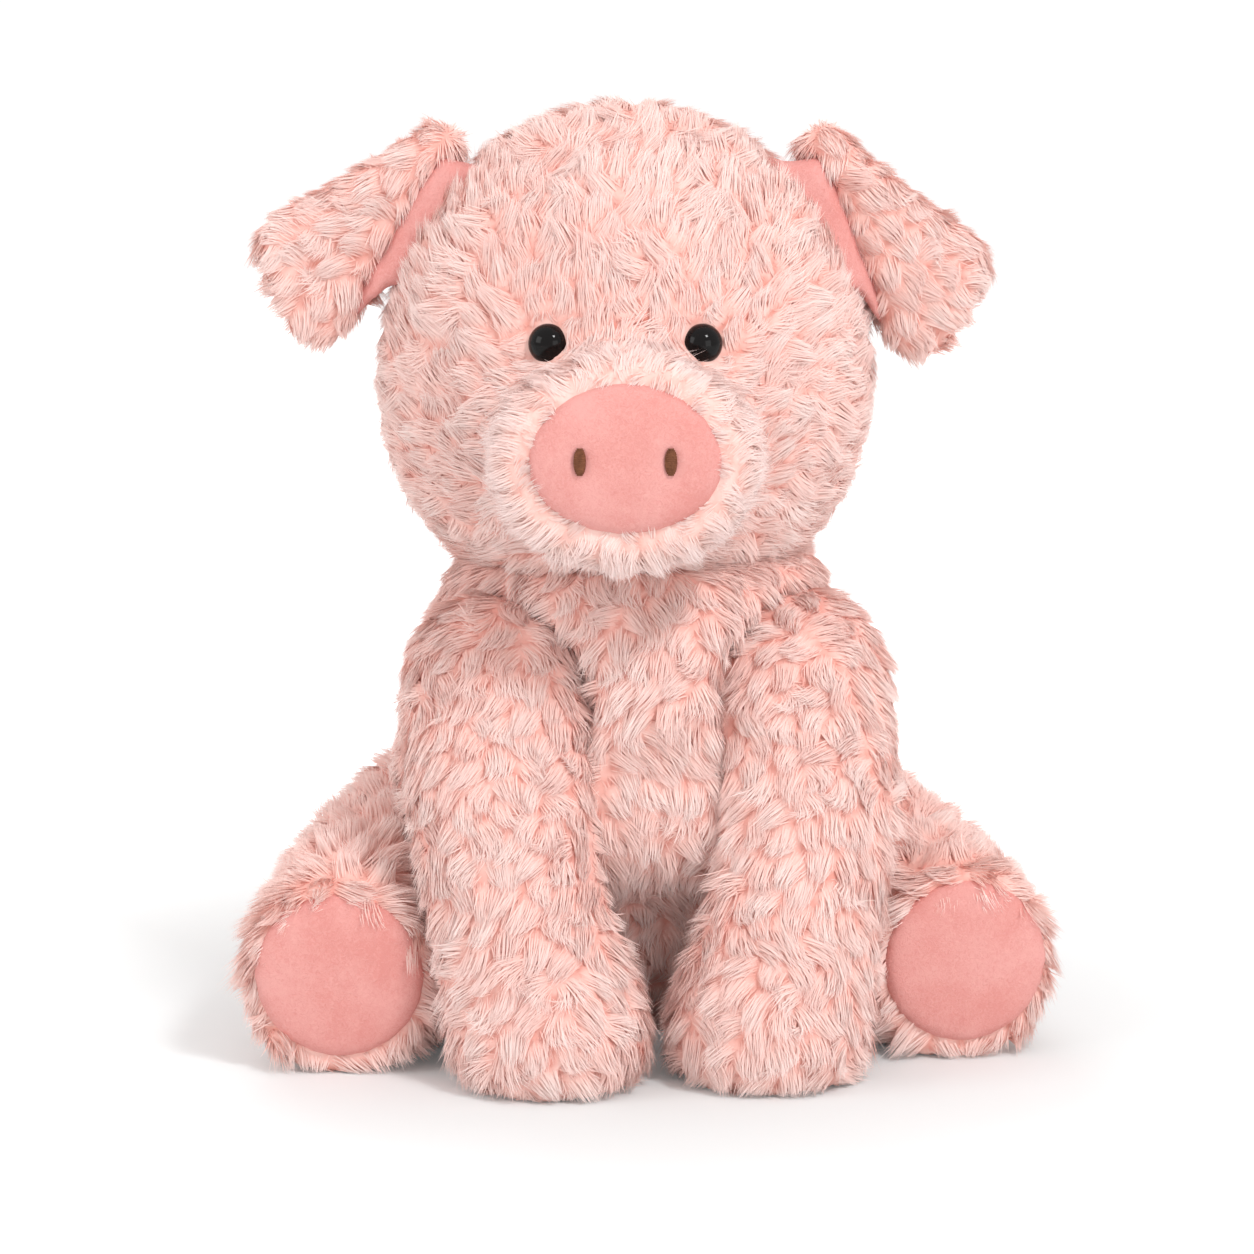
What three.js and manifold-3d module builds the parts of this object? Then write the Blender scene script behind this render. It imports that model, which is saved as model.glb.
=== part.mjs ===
// A seated plush pig: sewn plush panels over fibre stuffing, velour pads, safety eyes and folded ears.
// Millimetres, +Z up, facing -Y. Left and right are the pig's own sides.
// The origin is the middle of the flat seat panel.
import * as THREE from 'three';
import { mergeVertices } from 'three/addons/utils/BufferGeometryUtils.js';
import Module from 'manifold-3d';

const wasm = await Module();
wasm.setup();

// Cloth and clearances
const PLUSH = 4;
const SOLE = 4;
const SEAM = 0.3;
const LEG_CLEARANCE = 1;

// Torso: shares of its height, half width and half depth, from the seat to the neck
const NECK_HEIGHT = 127;
const TORSO_HALF_WIDTH = 65.5;
const TORSO_HALF_DEPTH = 58;
const SEAT_SET_BACK = 8;
const NECK_SET_BACK = -2;
const TORSO_PROFILE = [
  { height: 0, width: 0.76, depth: 0.78 },
  { height: 0.04, width: 0.87, depth: 0.88 },
  { height: 0.11, width: 0.95, depth: 0.96 },
  { height: 0.25, width: 1, depth: 1 },
  { height: 0.42, width: 0.98, depth: 0.97 },
  { height: 0.59, width: 0.92, depth: 0.9 },
  { height: 0.76, width: 0.84, depth: 0.82 },
  { height: 0.89, width: 0.75, depth: 0.74 },
  { height: 1, width: 0.65, depth: 0.65 },
];
const SIDE_SEAM_BACK = 6;
const SEAT_PANEL_MARGIN = 4;

// Pellet bag in the seat
const BAG_HALF_WIDTH = 24;
const BAG_HALF_DEPTH = 30;
const BAG_HEIGHT = 18;

// Head: an egg that the neck cuts flat, measured from the middle of the neck
const HEAD_OFFSET = -3;
const HEAD_TURN = -5.5;
const HEAD_RISE = 44;
const HEAD_SET_BACK = -2;
const HEAD_HALF_WIDTH = 61;
const HEAD_HALF_DEPTH = 56;
const HEAD_CROWN = 68;
const HEAD_JOWL = 60;

// Muzzle and snout
const MUZZLE_HEIGHT = 32;
const MUZZLE_HALF_WIDTH = 30.5;
const MUZZLE_HALF_HEIGHT = 24.5;
const MUZZLE_LENGTH = 25;
const MUZZLE_ROUNDING = 8;
const SNOUT_HEIGHT = 34;
const SNOUT_HALF_WIDTH = 23.8;
const SNOUT_HALF_HEIGHT = 18.5;
const SNOUT_THICKNESS = 5;
const SNOUT_CROWN = 4;
const SNOUT_NARROWING = 0.06;
const NOSTRIL_SPACING = 22;
const NOSTRIL_HALF_WIDTH = 1.7;
const NOSTRIL_HALF_HEIGHT = 3.3;
const NOSTRIL_HALF_DEPTH = 1.1;

// Safety eyes and their washers
const EYE_SPACING = 38.4;
const EYE_HEIGHT = 59;
const EYE_RADIUS = 5;
const EYE_DOME = 4.6;
const EYE_EDGE = 0.8;
const EYE_SUNK = 1.4;
const SHANK_RADIUS = 2.1;
const SHANK_LENGTH = 13;
const SHANK_RIB = 0.25;
const SHANK_RIBS = 3;
const WASHER_RADIUS = 7;
const WASHER_THICKNESS = 1.6;

// Ears: a folded leaf, outlined in the ear's own plane from the middle of its root
const EAR_ROOT_TOP = 54;
const EAR_ROOT_BOTTOM = 20;
const EAR_STAND_OFF = 1.4;
const EAR_BEAD = 3.6;
const EAR_ROOT_CLEARANCE = 8;
const EAR_DROOP = { left: 4, right: -4 };
const EAR_LAYER = 4.4;
const EAR_LINING = 3.6;
const EAR_FOLD = 3.6;
const EAR_EDGE = 1.5;
const EAR_LEAF = [
  [0, 17], [9, 20], [16, 18.5], [19.5, 5.5], [27, -12.5], [33.5, -26], [32, -33.5],
  [24.5, -38.5], [13, -43.5], [4.5, -43], [2, -32], [0, -17],
];
const EAR_OPENING = [
  [-9, 26], [7.5, 26], [10.5, 16], [9.5, 0], [7, -14], [5, -27], [1, -34], [-9, -34],
];

// Front legs: shares of the shoulder height, of the way from paw to shoulder, and of the paw's half sizes
const SHOULDER = new THREE.Vector3(36.5, -36, 95);
const SHOULDER_RADIUS = 24;
const PAW_SPREAD = 27.5;
const PAW_FORWARD = -56;
const PAW_HALF_WIDTH = 24;
const PAW_HALF_LENGTH = 25;
const PAW_SOLE_MARGIN = 1.5;
const LEG_PROFILE = [
  { height: 0, out: 0, back: 0, width: 0.8, length: 0.8 },
  { height: 0.045, out: 0, back: 0, width: 0.94, length: 0.93 },
  { height: 0.13, out: 0, back: 0, width: 1, length: 1 },
  { height: 0.25, out: 0.18, back: 0.14, width: 0.98, length: 0.97 },
  { height: 0.38, out: 0.52, back: 0.28, width: 0.92, length: 0.88 },
  { height: 0.54, out: 0.92, back: 0.46, width: 0.9, length: 0.84 },
  { height: 0.74, out: 1.06, back: 0.7, width: 0.95, length: 0.89 },
  { height: 0.9, out: 1, back: 0.9, width: 0.99, length: 0.95 },
  { height: 1, out: 1, back: 1, width: 0.99, length: 0.95 },
];

// Hind legs: a bent limb from the hip to the foot, with shares of its way and of the foot's half sizes
const HIP = new THREE.Vector3(48, 16, 38);
const HIP_RADIUS = 32;
const FOOT = new THREE.Vector3(80, -46, 24);
const FOOT_SPLAY = 7;
const FOOT_REACH = 35;
const FOOT_HALF_WIDTH = 22.8;
const FOOT_HALF_HEIGHT = 24.5;
const FOOT_SOLE_HALF_WIDTH = 20;
const FOOT_SOLE_HALF_HEIGHT = 19.7;
const FOOT_SOLE_CROWN = 2.6;
const HIND_PROFILE = [
  { way: 0, width: 1.28, height: 1.19 },
  { way: 0.25, width: 1.36, height: 1.23 },
  { way: 0.55, width: 1.2, height: 1.12 },
  { way: 0.78, width: 1.07, height: 1.04 },
  { way: 0.93, width: 1, height: 1 },
  { way: 1, width: 0.95, height: 0.94 },
];

// Tail: a curl of stuffed tube on a root bead
const TAIL_HEIGHT = 40;
const TAIL_ROOT = 4.5;
const TAIL_RADIUS = 3.4;
const TAIL_STEM = 8;
const TAIL_CURL = 7;
const TAIL_PITCH = 10;
const TAIL_TURNS = 1.25;
const TAIL_OPEN_BY = 0.5;

// Facets
const BODY_SIDES = 20;
const LIMB_SIDES = 14;
const JOINT_SIDES = 14;
const CORE_SIDES = 12;
const PAD_SIDES = 20;
const SMALL_SIDES = 12;
const TAIL_SIDES = 4;
const EGG_STEPS = 12;
const CORE_STEPS = 8;
const DOME_STEPS = 3;
const TAIL_STEPS = 14;
const EDGE_STEPS = 2;
const REACH = 400;
const MERGE_WITHIN = 1e-4;

const X = new THREE.Vector3(1, 0, 0);
const Y = new THREE.Vector3(0, 1, 0);
const Z = new THREE.Vector3(0, 0, 1);
const FORWARD = new THREE.Vector3(0, -1, 0);
const SIDES = { left: 1, right: -1 };
const radians = THREE.MathUtils.degToRad;
const lerp = THREE.MathUtils.lerp;

const plushPink = new THREE.MeshStandardMaterial({ color: 0xf4cac2, roughness: 0.95 });
const muzzlePink = new THREE.MeshStandardMaterial({ color: 0xf8ddd5, roughness: 0.95 });
const velourPink = new THREE.MeshStandardMaterial({ color: 0xf2a09c, roughness: 0.9 });
const threadBrown = new THREE.MeshStandardMaterial({ color: 0x83543a, roughness: 0.7 });
const eyeBlack = new THREE.MeshStandardMaterial({ color: 0x0c0a0a, roughness: 0.12 });
const washerWhite = new THREE.MeshStandardMaterial({ color: 0xe8e6e0, roughness: 0.5 });
const fibreWhite = new THREE.MeshStandardMaterial({ color: 0xf3f1ec, roughness: 1 });
const bagCanvas = new THREE.MeshStandardMaterial({ color: 0xe5dccb, roughness: 0.95 });

// Turns a closed geometry into a solid, with its shared corners merged and flat triangles dropped.
function solidOf(geometry) {
  const bare = new THREE.BufferGeometry();
  bare.setAttribute('position', geometry.getAttribute('position').clone());
  bare.setIndex(geometry.getIndex());
  const merged = mergeVertices(bare, MERGE_WITHIN);
  const corners = merged.getIndex().array;
  const kept = [];
  for (let i = 0; i < corners.length; i += 3) {
    const [a, b, c] = corners.slice(i, i + 3);
    if (a !== b && b !== c && c !== a) kept.push(a, b, c);
  }
  return new wasm.Manifold(new wasm.Mesh({
    numProp: 3,
    vertProperties: new Float32Array(merged.getAttribute('position').array),
    triVerts: new Uint32Array(kept),
  }));
}

// Gives a solid back as a geometry whose origin is the pivot.
function geometryOf(solid, pivot) {
  const mesh = solid.getMesh();
  const geometry = new THREE.BufferGeometry();
  geometry.setAttribute('position', new THREE.BufferAttribute(mesh.vertProperties, mesh.numProp));
  geometry.setIndex(new THREE.BufferAttribute(mesh.triVerts, 1));
  geometry.translate(-pivot.x, -pivot.y, -pivot.z);
  geometry.computeVertexNormals();
  return geometry;
}

// One named piece, placed at the pivot that it turns about.
function piece(name, solid, material, pivot = new THREE.Vector3()) {
  const mesh = new THREE.Mesh(geometryOf(solid, pivot), material);
  mesh.name = name;
  mesh.position.copy(pivot);
  return mesh;
}

// Inner faces and cores have fewer facets than the outer skin.
const facets = (inset, outer, core = CORE_SIDES) => (inset > 0 ? core : outer);

// A ring of points round a centre; a narrowing draws its upper half in, as on an egg.
function ring(centre, across, up, halfWidth, halfHeight, sides, narrowing = 0) {
  return Array.from({ length: sides }, (_, i) => {
    const angle = (2 * Math.PI * i) / sides;
    const width = halfWidth * (1 - narrowing * Math.sin(angle));
    return centre.clone()
      .addScaledVector(across, width * Math.cos(angle))
      .addScaledVector(up, halfHeight * Math.sin(angle));
  });
}

// A closed skin through rings that follow each other along across x up, with a pole at each end.
function loft(rings, first, last) {
  const sides = rings[0].length;
  const points = [first, ...rings.flat(), last];
  const end = points.length - 1;
  const index = [];
  for (let j = 0; j < sides; j += 1) {
    const k = (j + 1) % sides;
    index.push(0, 1 + k, 1 + j);
    for (let row = 0; row + 1 < rings.length; row += 1) {
      const low = 1 + row * sides;
      const high = low + sides;
      index.push(low + j, low + k, high + k, low + j, high + k, high + j);
    }
    index.push(end - sides + j, end - sides + k, end);
  }
  const geometry = new THREE.BufferGeometry().setFromPoints(points);
  geometry.setIndex(index);
  return geometry;
}

// A ball whose poles lie on the axis that it turns about.
function ball(centre, radius, axis, sides = JOINT_SIDES) {
  const geometry = new THREE.SphereGeometry(radius, sides, Math.ceil(sides / 2));
  geometry.applyQuaternion(new THREE.Quaternion().setFromUnitVectors(Y, axis));
  geometry.translate(centre.x, centre.y, centre.z);
  return solidOf(geometry);
}

// The hollow that such a ball turns in, clear of its flat facets.
function socket(centre, radius, axis, sides = JOINT_SIDES) {
  return ball(centre, radius / Math.cos(Math.PI / sides) + SEAM, axis, sides);
}

// Everything beyond a plane through the point, on the side that the direction points to.
function beyond(direction, point) {
  const geometry = new THREE.BoxGeometry(REACH, REACH, REACH);
  const centre = point.clone().addScaledVector(direction, REACH / 2);
  geometry.translate(centre.x, centre.y, centre.z);
  return solidOf(geometry);
}

// A sewn pad: a disc of the given thickness behind its rim, with a crown in front of it.
function pad({ centre, facing, halfWidth, halfHeight, thickness, crown, narrowing = 0, grow = 0 }) {
  const up = facing.z === 0 ? Z : Y;
  const across = up.clone().cross(facing);
  const at = (distance) => centre.clone().addScaledVector(facing, distance);
  const round = (distance, share) => ring(
    at(distance), across, up, (halfWidth + grow) * share, (halfHeight + grow) * share, PAD_SIDES, narrowing,
  );
  const rings = [round(-thickness - grow, 1), round(crown > 0 ? 0 : grow, 1)];
  for (let i = 1; i <= DOME_STEPS && crown > 0; i += 1) {
    const angle = (i / (DOME_STEPS + 1)) * (Math.PI / 2);
    rings.push(round((crown + grow) * Math.sin(angle), Math.cos(angle)));
  }
  return solidOf(loft(rings, at(-thickness - grow), at(crown + grow)));
}

// Torso and its seat
function torso(inset) {
  const rings = TORSO_PROFILE.map(({ height, width, depth }, i) => ring(
    new THREE.Vector3(0, lerp(SEAT_SET_BACK, NECK_SET_BACK, height), i ? height * NECK_HEIGHT : inset),
    X, Y, TORSO_HALF_WIDTH * width - inset, TORSO_HALF_DEPTH * depth - inset, facets(inset, BODY_SIDES),
  ));
  const rise = new THREE.Vector3(0, 0, TORSO_HALF_DEPTH);
  rings.push(rings.at(-1).map((point) => point.clone().add(rise)));
  const bottom = new THREE.Vector3(0, SEAT_SET_BACK, inset);
  const top = new THREE.Vector3(0, NECK_SET_BACK, NECK_HEIGHT).add(rise);
  return solidOf(loft(rings, bottom, top));
}

const seat = TORSO_PROFILE[0];
const seatCentre = new THREE.Vector3(0, SEAT_SET_BACK, 0);
const seatPanel = (grow) => pad({
  centre: seatCentre,
  facing: Z.clone().negate(),
  halfWidth: TORSO_HALF_WIDTH * seat.width - SEAT_PANEL_MARGIN,
  halfHeight: TORSO_HALF_DEPTH * seat.depth - SEAT_PANEL_MARGIN,
  thickness: PLUSH,
  crown: 0,
  grow,
});

// A flat-bottomed bag on the inside of the seat panel
function pelletBag(grow) {
  const geometry = new THREE.SphereGeometry(1, LIMB_SIDES, CORE_STEPS);
  geometry.rotateX(Math.PI / 2);
  geometry.scale(BAG_HALF_WIDTH + grow, BAG_HALF_DEPTH + grow, BAG_HEIGHT + grow);
  geometry.translate(0, SEAT_SET_BACK, PLUSH);
  const floor = new THREE.Vector3(0, 0, PLUSH + SEAM - grow);
  return solidOf(geometry).intersect(beyond(Z, floor));
}

// Front legs, as far as the torso lets them reach back
function frontLegColumn(side, inset) {
  const rings = LEG_PROFILE.map(({ height, out, back, width, length }, i) => ring(
    new THREE.Vector3(
      side * lerp(PAW_SPREAD, SHOULDER.x, out),
      lerp(PAW_FORWARD, SHOULDER.y, back),
      i ? height * SHOULDER.z : inset,
    ),
    X, Y, PAW_HALF_WIDTH * width - inset, PAW_HALF_LENGTH * length - inset, facets(inset, LIMB_SIDES),
  ));
  const bottom = new THREE.Vector3(side * PAW_SPREAD, PAW_FORWARD, inset);
  return solidOf(loft(rings, bottom, shoulderOf(side)));
}

const mirrored = (point, side) => new THREE.Vector3(side * point.x, point.y, point.z);
const shoulderOf = (side) => mirrored(SHOULDER, side);
const hipOf = (side) => mirrored(HIP, side);

function frontLeg(side, inset) {
  return frontLegColumn(side, inset)
    .subtract(torso(-SEAM - inset))
    .add(ball(shoulderOf(side), SHOULDER_RADIUS - inset, X, facets(inset, JOINT_SIDES)));
}

const frontSole = (side, grow) => pad({
  centre: new THREE.Vector3(side * PAW_SPREAD, PAW_FORWARD, 0),
  facing: Z.clone().negate(),
  halfWidth: PAW_HALF_WIDTH * LEG_PROFILE[0].width - PAW_SOLE_MARGIN,
  halfHeight: PAW_HALF_LENGTH * LEG_PROFILE[0].length - PAW_SOLE_MARGIN,
  thickness: SOLE,
  crown: 0,
  grow,
});

// Hind legs, cut flat where they lie on the floor
const footFacing = (side) => new THREE.Vector3(
  side * Math.sin(radians(FOOT_SPLAY)), -Math.cos(radians(FOOT_SPLAY)), 0,
);

function hindLegLimb(side, inset) {
  const foot = mirrored(FOOT, side);
  const bend = foot.clone().addScaledVector(footFacing(side), -FOOT_REACH);
  const path = new THREE.QuadraticBezierCurve3(hipOf(side), bend, foot);
  const length = path.getLength();
  const rings = HIND_PROFILE.map(({ way, width, height }) => {
    const share = Math.min(way, 1 - inset / length);
    const along = path.getTangentAt(share).setZ(0).normalize();
    return ring(
      path.getPointAt(share), Z.clone().cross(along), Z,
      FOOT_HALF_WIDTH * width - inset, FOOT_HALF_HEIGHT * height - inset, facets(inset, LIMB_SIDES),
    );
  });
  const end = path.getPointAt(1 - Math.max(inset, 0) / length);
  return solidOf(loft(rings, hipOf(side), end));
}

function hindLeg(side, inset) {
  return hindLegLimb(side, inset)
    .subtract(torso(-SEAM - inset))
    .subtract(frontLegColumn(side, -LEG_CLEARANCE - inset))
    .add(ball(hipOf(side), HIP_RADIUS - inset, Z, facets(inset, JOINT_SIDES)))
    .intersect(beyond(Z, new THREE.Vector3(0, 0, inset)));
}

const hindSole = (side, grow) => pad({
  centre: mirrored(FOOT, side),
  facing: footFacing(side),
  halfWidth: FOOT_SOLE_HALF_WIDTH,
  halfHeight: FOOT_SOLE_HALF_HEIGHT,
  thickness: SOLE,
  crown: FOOT_SOLE_CROWN,
  grow,
});

// Tail, on the centre back seam
const backAt = SEAT_SET_BACK + TORSO_HALF_DEPTH;
const tailRoot = new THREE.Vector3(0, backAt, TAIL_HEIGHT);

class TailCurl extends THREE.Curve {
  getPoint(t, target = new THREE.Vector3()) {
    const angle = 2 * Math.PI * TAIL_TURNS * t;
    const opening = TAIL_CURL * Math.min(1, t / TAIL_OPEN_BY);
    return target.set(
      opening * Math.sin(angle),
      (TAIL_STEM + TAIL_PITCH * TAIL_TURNS) * t,
      opening * (1 - Math.cos(angle)),
    ).add(tailRoot);
  }
}

function tail() {
  const section = new THREE.Shape().absarc(0, 0, TAIL_RADIUS, 0, 2 * Math.PI);
  const tube = new THREE.ExtrudeGeometry(section, {
    extrudePath: new TailCurl(), steps: TAIL_STEPS, curveSegments: TAIL_SIDES,
  });
  return solidOf(tube).add(ball(tailRoot, TAIL_ROOT, Z, SMALL_SIDES));
}

// Head, in the head's own frame at the neck
const headCentre = new THREE.Vector3(0, HEAD_SET_BACK, HEAD_RISE);

function egg(inset) {
  const rings = [];
  const steps = facets(inset, EGG_STEPS, CORE_STEPS);
  for (let i = 1; i < steps; i += 1) {
    const angle = Math.PI * (i / steps - 0.5);
    const half = (angle < 0 ? HEAD_JOWL : HEAD_CROWN) - inset;
    const centre = headCentre.clone().addScaledVector(Z, half * Math.sin(angle));
    const share = Math.cos(angle);
    rings.push(ring(
      centre, X, Y, (HEAD_HALF_WIDTH - inset) * share, (HEAD_HALF_DEPTH - inset) * share,
      facets(inset, BODY_SIDES),
    ));
  }
  const bottom = headCentre.clone().addScaledVector(Z, inset - HEAD_JOWL);
  const top = headCentre.clone().addScaledVector(Z, HEAD_CROWN - inset);
  return solidOf(loft(rings, bottom, top));
}

// A point on the face, with the direction that the face has there
function faceAt(x, z) {
  const half = new THREE.Vector3(
    HEAD_HALF_WIDTH, HEAD_HALF_DEPTH, z > HEAD_RISE ? HEAD_CROWN : HEAD_JOWL,
  );
  const share = 1 - (x / half.x) ** 2 - ((z - HEAD_RISE) / half.z) ** 2;
  const point = new THREE.Vector3(x, HEAD_SET_BACK - half.y * Math.sqrt(share), z);
  const facing = point.clone().sub(headCentre).divide(half).divide(half).normalize();
  return { point, facing };
}

// Muzzle: a short barrel with a rounded rim, from inside the head to the snout
const muzzleRoot = faceAt(0, MUZZLE_HEIGHT).point.y;
const muzzleFront = muzzleRoot - MUZZLE_LENGTH;

function muzzle(inset) {
  const round = (y, drawn) => ring(
    new THREE.Vector3(0, y, MUZZLE_HEIGHT), X, Z,
    MUZZLE_HALF_WIDTH - drawn - inset, MUZZLE_HALF_HEIGHT - drawn - inset, facets(inset, BODY_SIDES),
  );
  const rings = [round(HEAD_SET_BACK, 0)];
  for (let i = 0; i <= DOME_STEPS; i += 1) {
    const angle = (i / DOME_STEPS) * (Math.PI / 2);
    const y = muzzleFront + inset + MUZZLE_ROUNDING * (1 - Math.sin(angle));
    rings.push(round(y, MUZZLE_ROUNDING * (1 - Math.cos(angle))));
  }
  const back = new THREE.Vector3(0, HEAD_SET_BACK, MUZZLE_HEIGHT);
  const front = new THREE.Vector3(0, muzzleFront + inset, MUZZLE_HEIGHT);
  return solidOf(loft(rings, back, front));
}

const snoutCentre = new THREE.Vector3(0, muzzleFront, SNOUT_HEIGHT);
const snoutPad = (grow) => pad({
  centre: snoutCentre,
  facing: FORWARD,
  halfWidth: SNOUT_HALF_WIDTH,
  halfHeight: SNOUT_HALF_HEIGHT,
  thickness: SNOUT_THICKNESS,
  crown: SNOUT_CROWN,
  narrowing: SNOUT_NARROWING,
  grow,
});

// A nostril of satin stitch, let half into the snout's crown
function nostril(side, grow) {
  const x = (side * NOSTRIL_SPACING) / 2;
  const crown = SNOUT_CROWN * Math.sqrt(1 - (x / SNOUT_HALF_WIDTH) ** 2);
  const geometry = new THREE.SphereGeometry(1, SMALL_SIDES, SMALL_SIDES / 2);
  geometry.scale(NOSTRIL_HALF_WIDTH + grow, NOSTRIL_HALF_DEPTH + grow, NOSTRIL_HALF_HEIGHT + grow);
  geometry.translate(x, muzzleFront - crown, SNOUT_HEIGHT);
  return solidOf(geometry);
}

// Safety eye: a turned profile about its shank, which a washer holds on the inside of the skin
function turned(profile, { point, facing }) {
  const geometry = new THREE.LatheGeometry(profile, SMALL_SIDES);
  geometry.applyQuaternion(new THREE.Quaternion().setFromUnitVectors(Y, facing));
  geometry.translate(point.x, point.y, point.z);
  return solidOf(geometry);
}

function eyeProfile() {
  const profile = [new THREE.Vector2(0, -EYE_SUNK - SHANK_LENGTH)];
  const pitch = SHANK_LENGTH / (2 * SHANK_RIBS);
  for (let i = 0; i <= 2 * SHANK_RIBS; i += 1) {
    const radius = i % 2 ? SHANK_RADIUS : SHANK_RADIUS - SHANK_RIB;
    profile.push(new THREE.Vector2(radius, -EYE_SUNK - SHANK_LENGTH + i * pitch));
  }
  profile.push(new THREE.Vector2(EYE_RADIUS, -EYE_SUNK));
  for (let i = 0; i <= DOME_STEPS; i += 1) {
    const angle = (i / (DOME_STEPS + 1)) * (Math.PI / 2);
    const height = EYE_EDGE - EYE_SUNK + EYE_DOME * Math.sin(angle);
    profile.push(new THREE.Vector2(EYE_RADIUS * Math.cos(angle), height));
  }
  profile.push(new THREE.Vector2(0, EYE_EDGE - EYE_SUNK + EYE_DOME));
  return profile;
}

const rod = (radius, low, high) => [
  new THREE.Vector2(0, low), new THREE.Vector2(radius, low),
  new THREE.Vector2(radius, high), new THREE.Vector2(0, high),
];
const tube = (bore, radius, low, high) => [
  new THREE.Vector2(bore, low), new THREE.Vector2(radius, low),
  new THREE.Vector2(radius, high), new THREE.Vector2(bore, high), new THREE.Vector2(bore, low),
];

const eyeSeat = (side) => faceAt((side * EYE_SPACING) / 2, EYE_HEIGHT);
const washerFace = -PLUSH - SEAM - WASHER_RADIUS ** 2 / (2 * (HEAD_HALF_DEPTH - PLUSH));
const washerBack = washerFace - WASHER_THICKNESS;
const eye = (side) => turned(eyeProfile(), eyeSeat(side));
const washer = (side) => turned(
  tube(SHANK_RADIUS + SEAM, WASHER_RADIUS, washerBack, washerFace), eyeSeat(side),
);
const eyeRecess = (side) => turned(rod(EYE_RADIUS + SEAM, -EYE_SUNK - SEAM, EYE_DOME), eyeSeat(side))
  .add(turned(rod(SHANK_RADIUS + SEAM, -EYE_SUNK - SHANK_LENGTH - SEAM, 0), eyeSeat(side)));
const washerRecess = (side) => turned(
  rod(WASHER_RADIUS + SEAM, washerBack - SEAM, washerFace + SEAM), eyeSeat(side),
);

// Ears: the root lies along the crown seam, and the leaf stands out from it in the ear's own plane
function earFrame(name) {
  const side = SIDES[name];
  const onSeam = (degrees) => new THREE.Vector3(
    side * HEAD_HALF_WIDTH * Math.cos(radians(degrees)),
    HEAD_SET_BACK,
    HEAD_RISE + HEAD_CROWN * Math.sin(radians(degrees)),
  );
  const top = onSeam(EAR_ROOT_TOP);
  const bottom = onSeam(EAR_ROOT_BOTTOM);
  const up = top.clone().sub(bottom).normalize();
  const out = up.clone().cross(FORWARD).multiplyScalar(side);
  const droop = new THREE.Quaternion().setFromAxisAngle(Y, side * radians(EAR_DROOP[name]));
  const pivot = top.clone().add(bottom).multiplyScalar(0.5).addScaledVector(out, EAR_STAND_OFF);
  return {
    side,
    pivot,
    length: top.distanceTo(bottom),
    up: up.applyQuaternion(droop),
    out: out.applyQuaternion(droop),
  };
}

// A flat layer of the ear between two depths ahead of the root, with softened edges
function earLayer({ side, pivot, up, out }, { outline, back, front, edge = 0, drawn = 0 }) {
  const corners = outline.map(([x, y]) => new THREE.Vector2(side * (x - drawn), y - drawn));
  const geometry = new THREE.ExtrudeGeometry(new THREE.Shape(corners), {
    depth: front - back - 2 * edge,
    bevelEnabled: edge > 0,
    bevelSize: edge,
    bevelThickness: edge,
    bevelOffset: -edge,
    bevelSegments: EDGE_STEPS,
  });
  geometry.translate(0, 0, back + edge);
  const across = out.clone().multiplyScalar(side);
  geometry.applyMatrix4(new THREE.Matrix4().makeBasis(across, up, FORWARD).setPosition(pivot));
  return solidOf(geometry);
}

// The bead along the ear's root edge, about which the ear swings
function earBead({ pivot, up, length }, radius, ends) {
  const geometry = new THREE.CylinderGeometry(radius, radius, length + 2 * ends, SMALL_SIDES);
  geometry.applyQuaternion(new THREE.Quaternion().setFromUnitVectors(Y, up));
  geometry.translate(pivot.x, pivot.y, pivot.z);
  return solidOf(geometry);
}

const liningHalf = EAR_LINING / 2;
const earHalf = liningHalf + SEAM + EAR_LAYER;

function earLining(frame) {
  const leaf = earLayer(frame, { outline: EAR_LEAF, back: -liningHalf, front: liningHalf });
  return earLayer(frame, {
    outline: EAR_LEAF, back: -liningHalf, front: liningHalf, drawn: EAR_FOLD + SEAM,
  }).intersect(leaf).add(earBead(frame, EAR_BEAD, 0));
}

function earOuter(frame) {
  return earLayer(frame, { outline: EAR_LEAF, back: -earHalf, front: earHalf, edge: EAR_EDGE })
    .subtract(earLayer(frame, {
      outline: EAR_LEAF, back: -liningHalf - SEAM, front: liningHalf + SEAM, drawn: EAR_FOLD,
    }))
    .subtract(earLayer(frame, { outline: EAR_OPENING, back: liningHalf + SEAM, front: 2 * earHalf }))
    .subtract(earBead(frame, EAR_ROOT_CLEARANCE, EAR_LAYER));
}

// Body: the torso's skin is cut into panels round the armholes, the hips, the tail and the seat
const pig = new THREE.Group();
const sides = Object.entries(SIDES);
const underNeck = beyond(Z.clone().negate(), new THREE.Vector3(0, 0, NECK_HEIGHT - SEAM / 2));
const sockets = sides
  .flatMap(([, side]) => [
    socket(shoulderOf(side), SHOULDER_RADIUS, X),
    socket(hipOf(side), HIP_RADIUS, Z),
  ])
  .reduce((all, hollow) => all.add(hollow), socket(tailRoot, TAIL_ROOT, Z, SMALL_SIDES));
const bodySkin = torso(0).subtract(torso(PLUSH)).subtract(sockets)
  .subtract(seatPanel(SEAM)).intersect(underNeck);
const sideSeam = (shift) => new THREE.Vector3(0, SIDE_SEAM_BACK + shift, 0);
const bodyBack = bodySkin.intersect(beyond(Y, sideSeam(SEAM / 2)));
const bodyStuffing = torso(PLUSH + SEAM).subtract(sockets)
  .subtract(pelletBag(SEAM)).intersect(underNeck);

pig.add(
  piece('body_front_panel', bodySkin.intersect(beyond(FORWARD, sideSeam(-SEAM / 2))), plushPink),
  piece('body_seat_panel', seatPanel(0), plushPink),
  piece('body_stuffing', bodyStuffing, fibreWhite),
  piece('pellet_bag', pelletBag(0), bagCanvas),
  piece('tail', tail(), velourPink, tailRoot),
);

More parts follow.
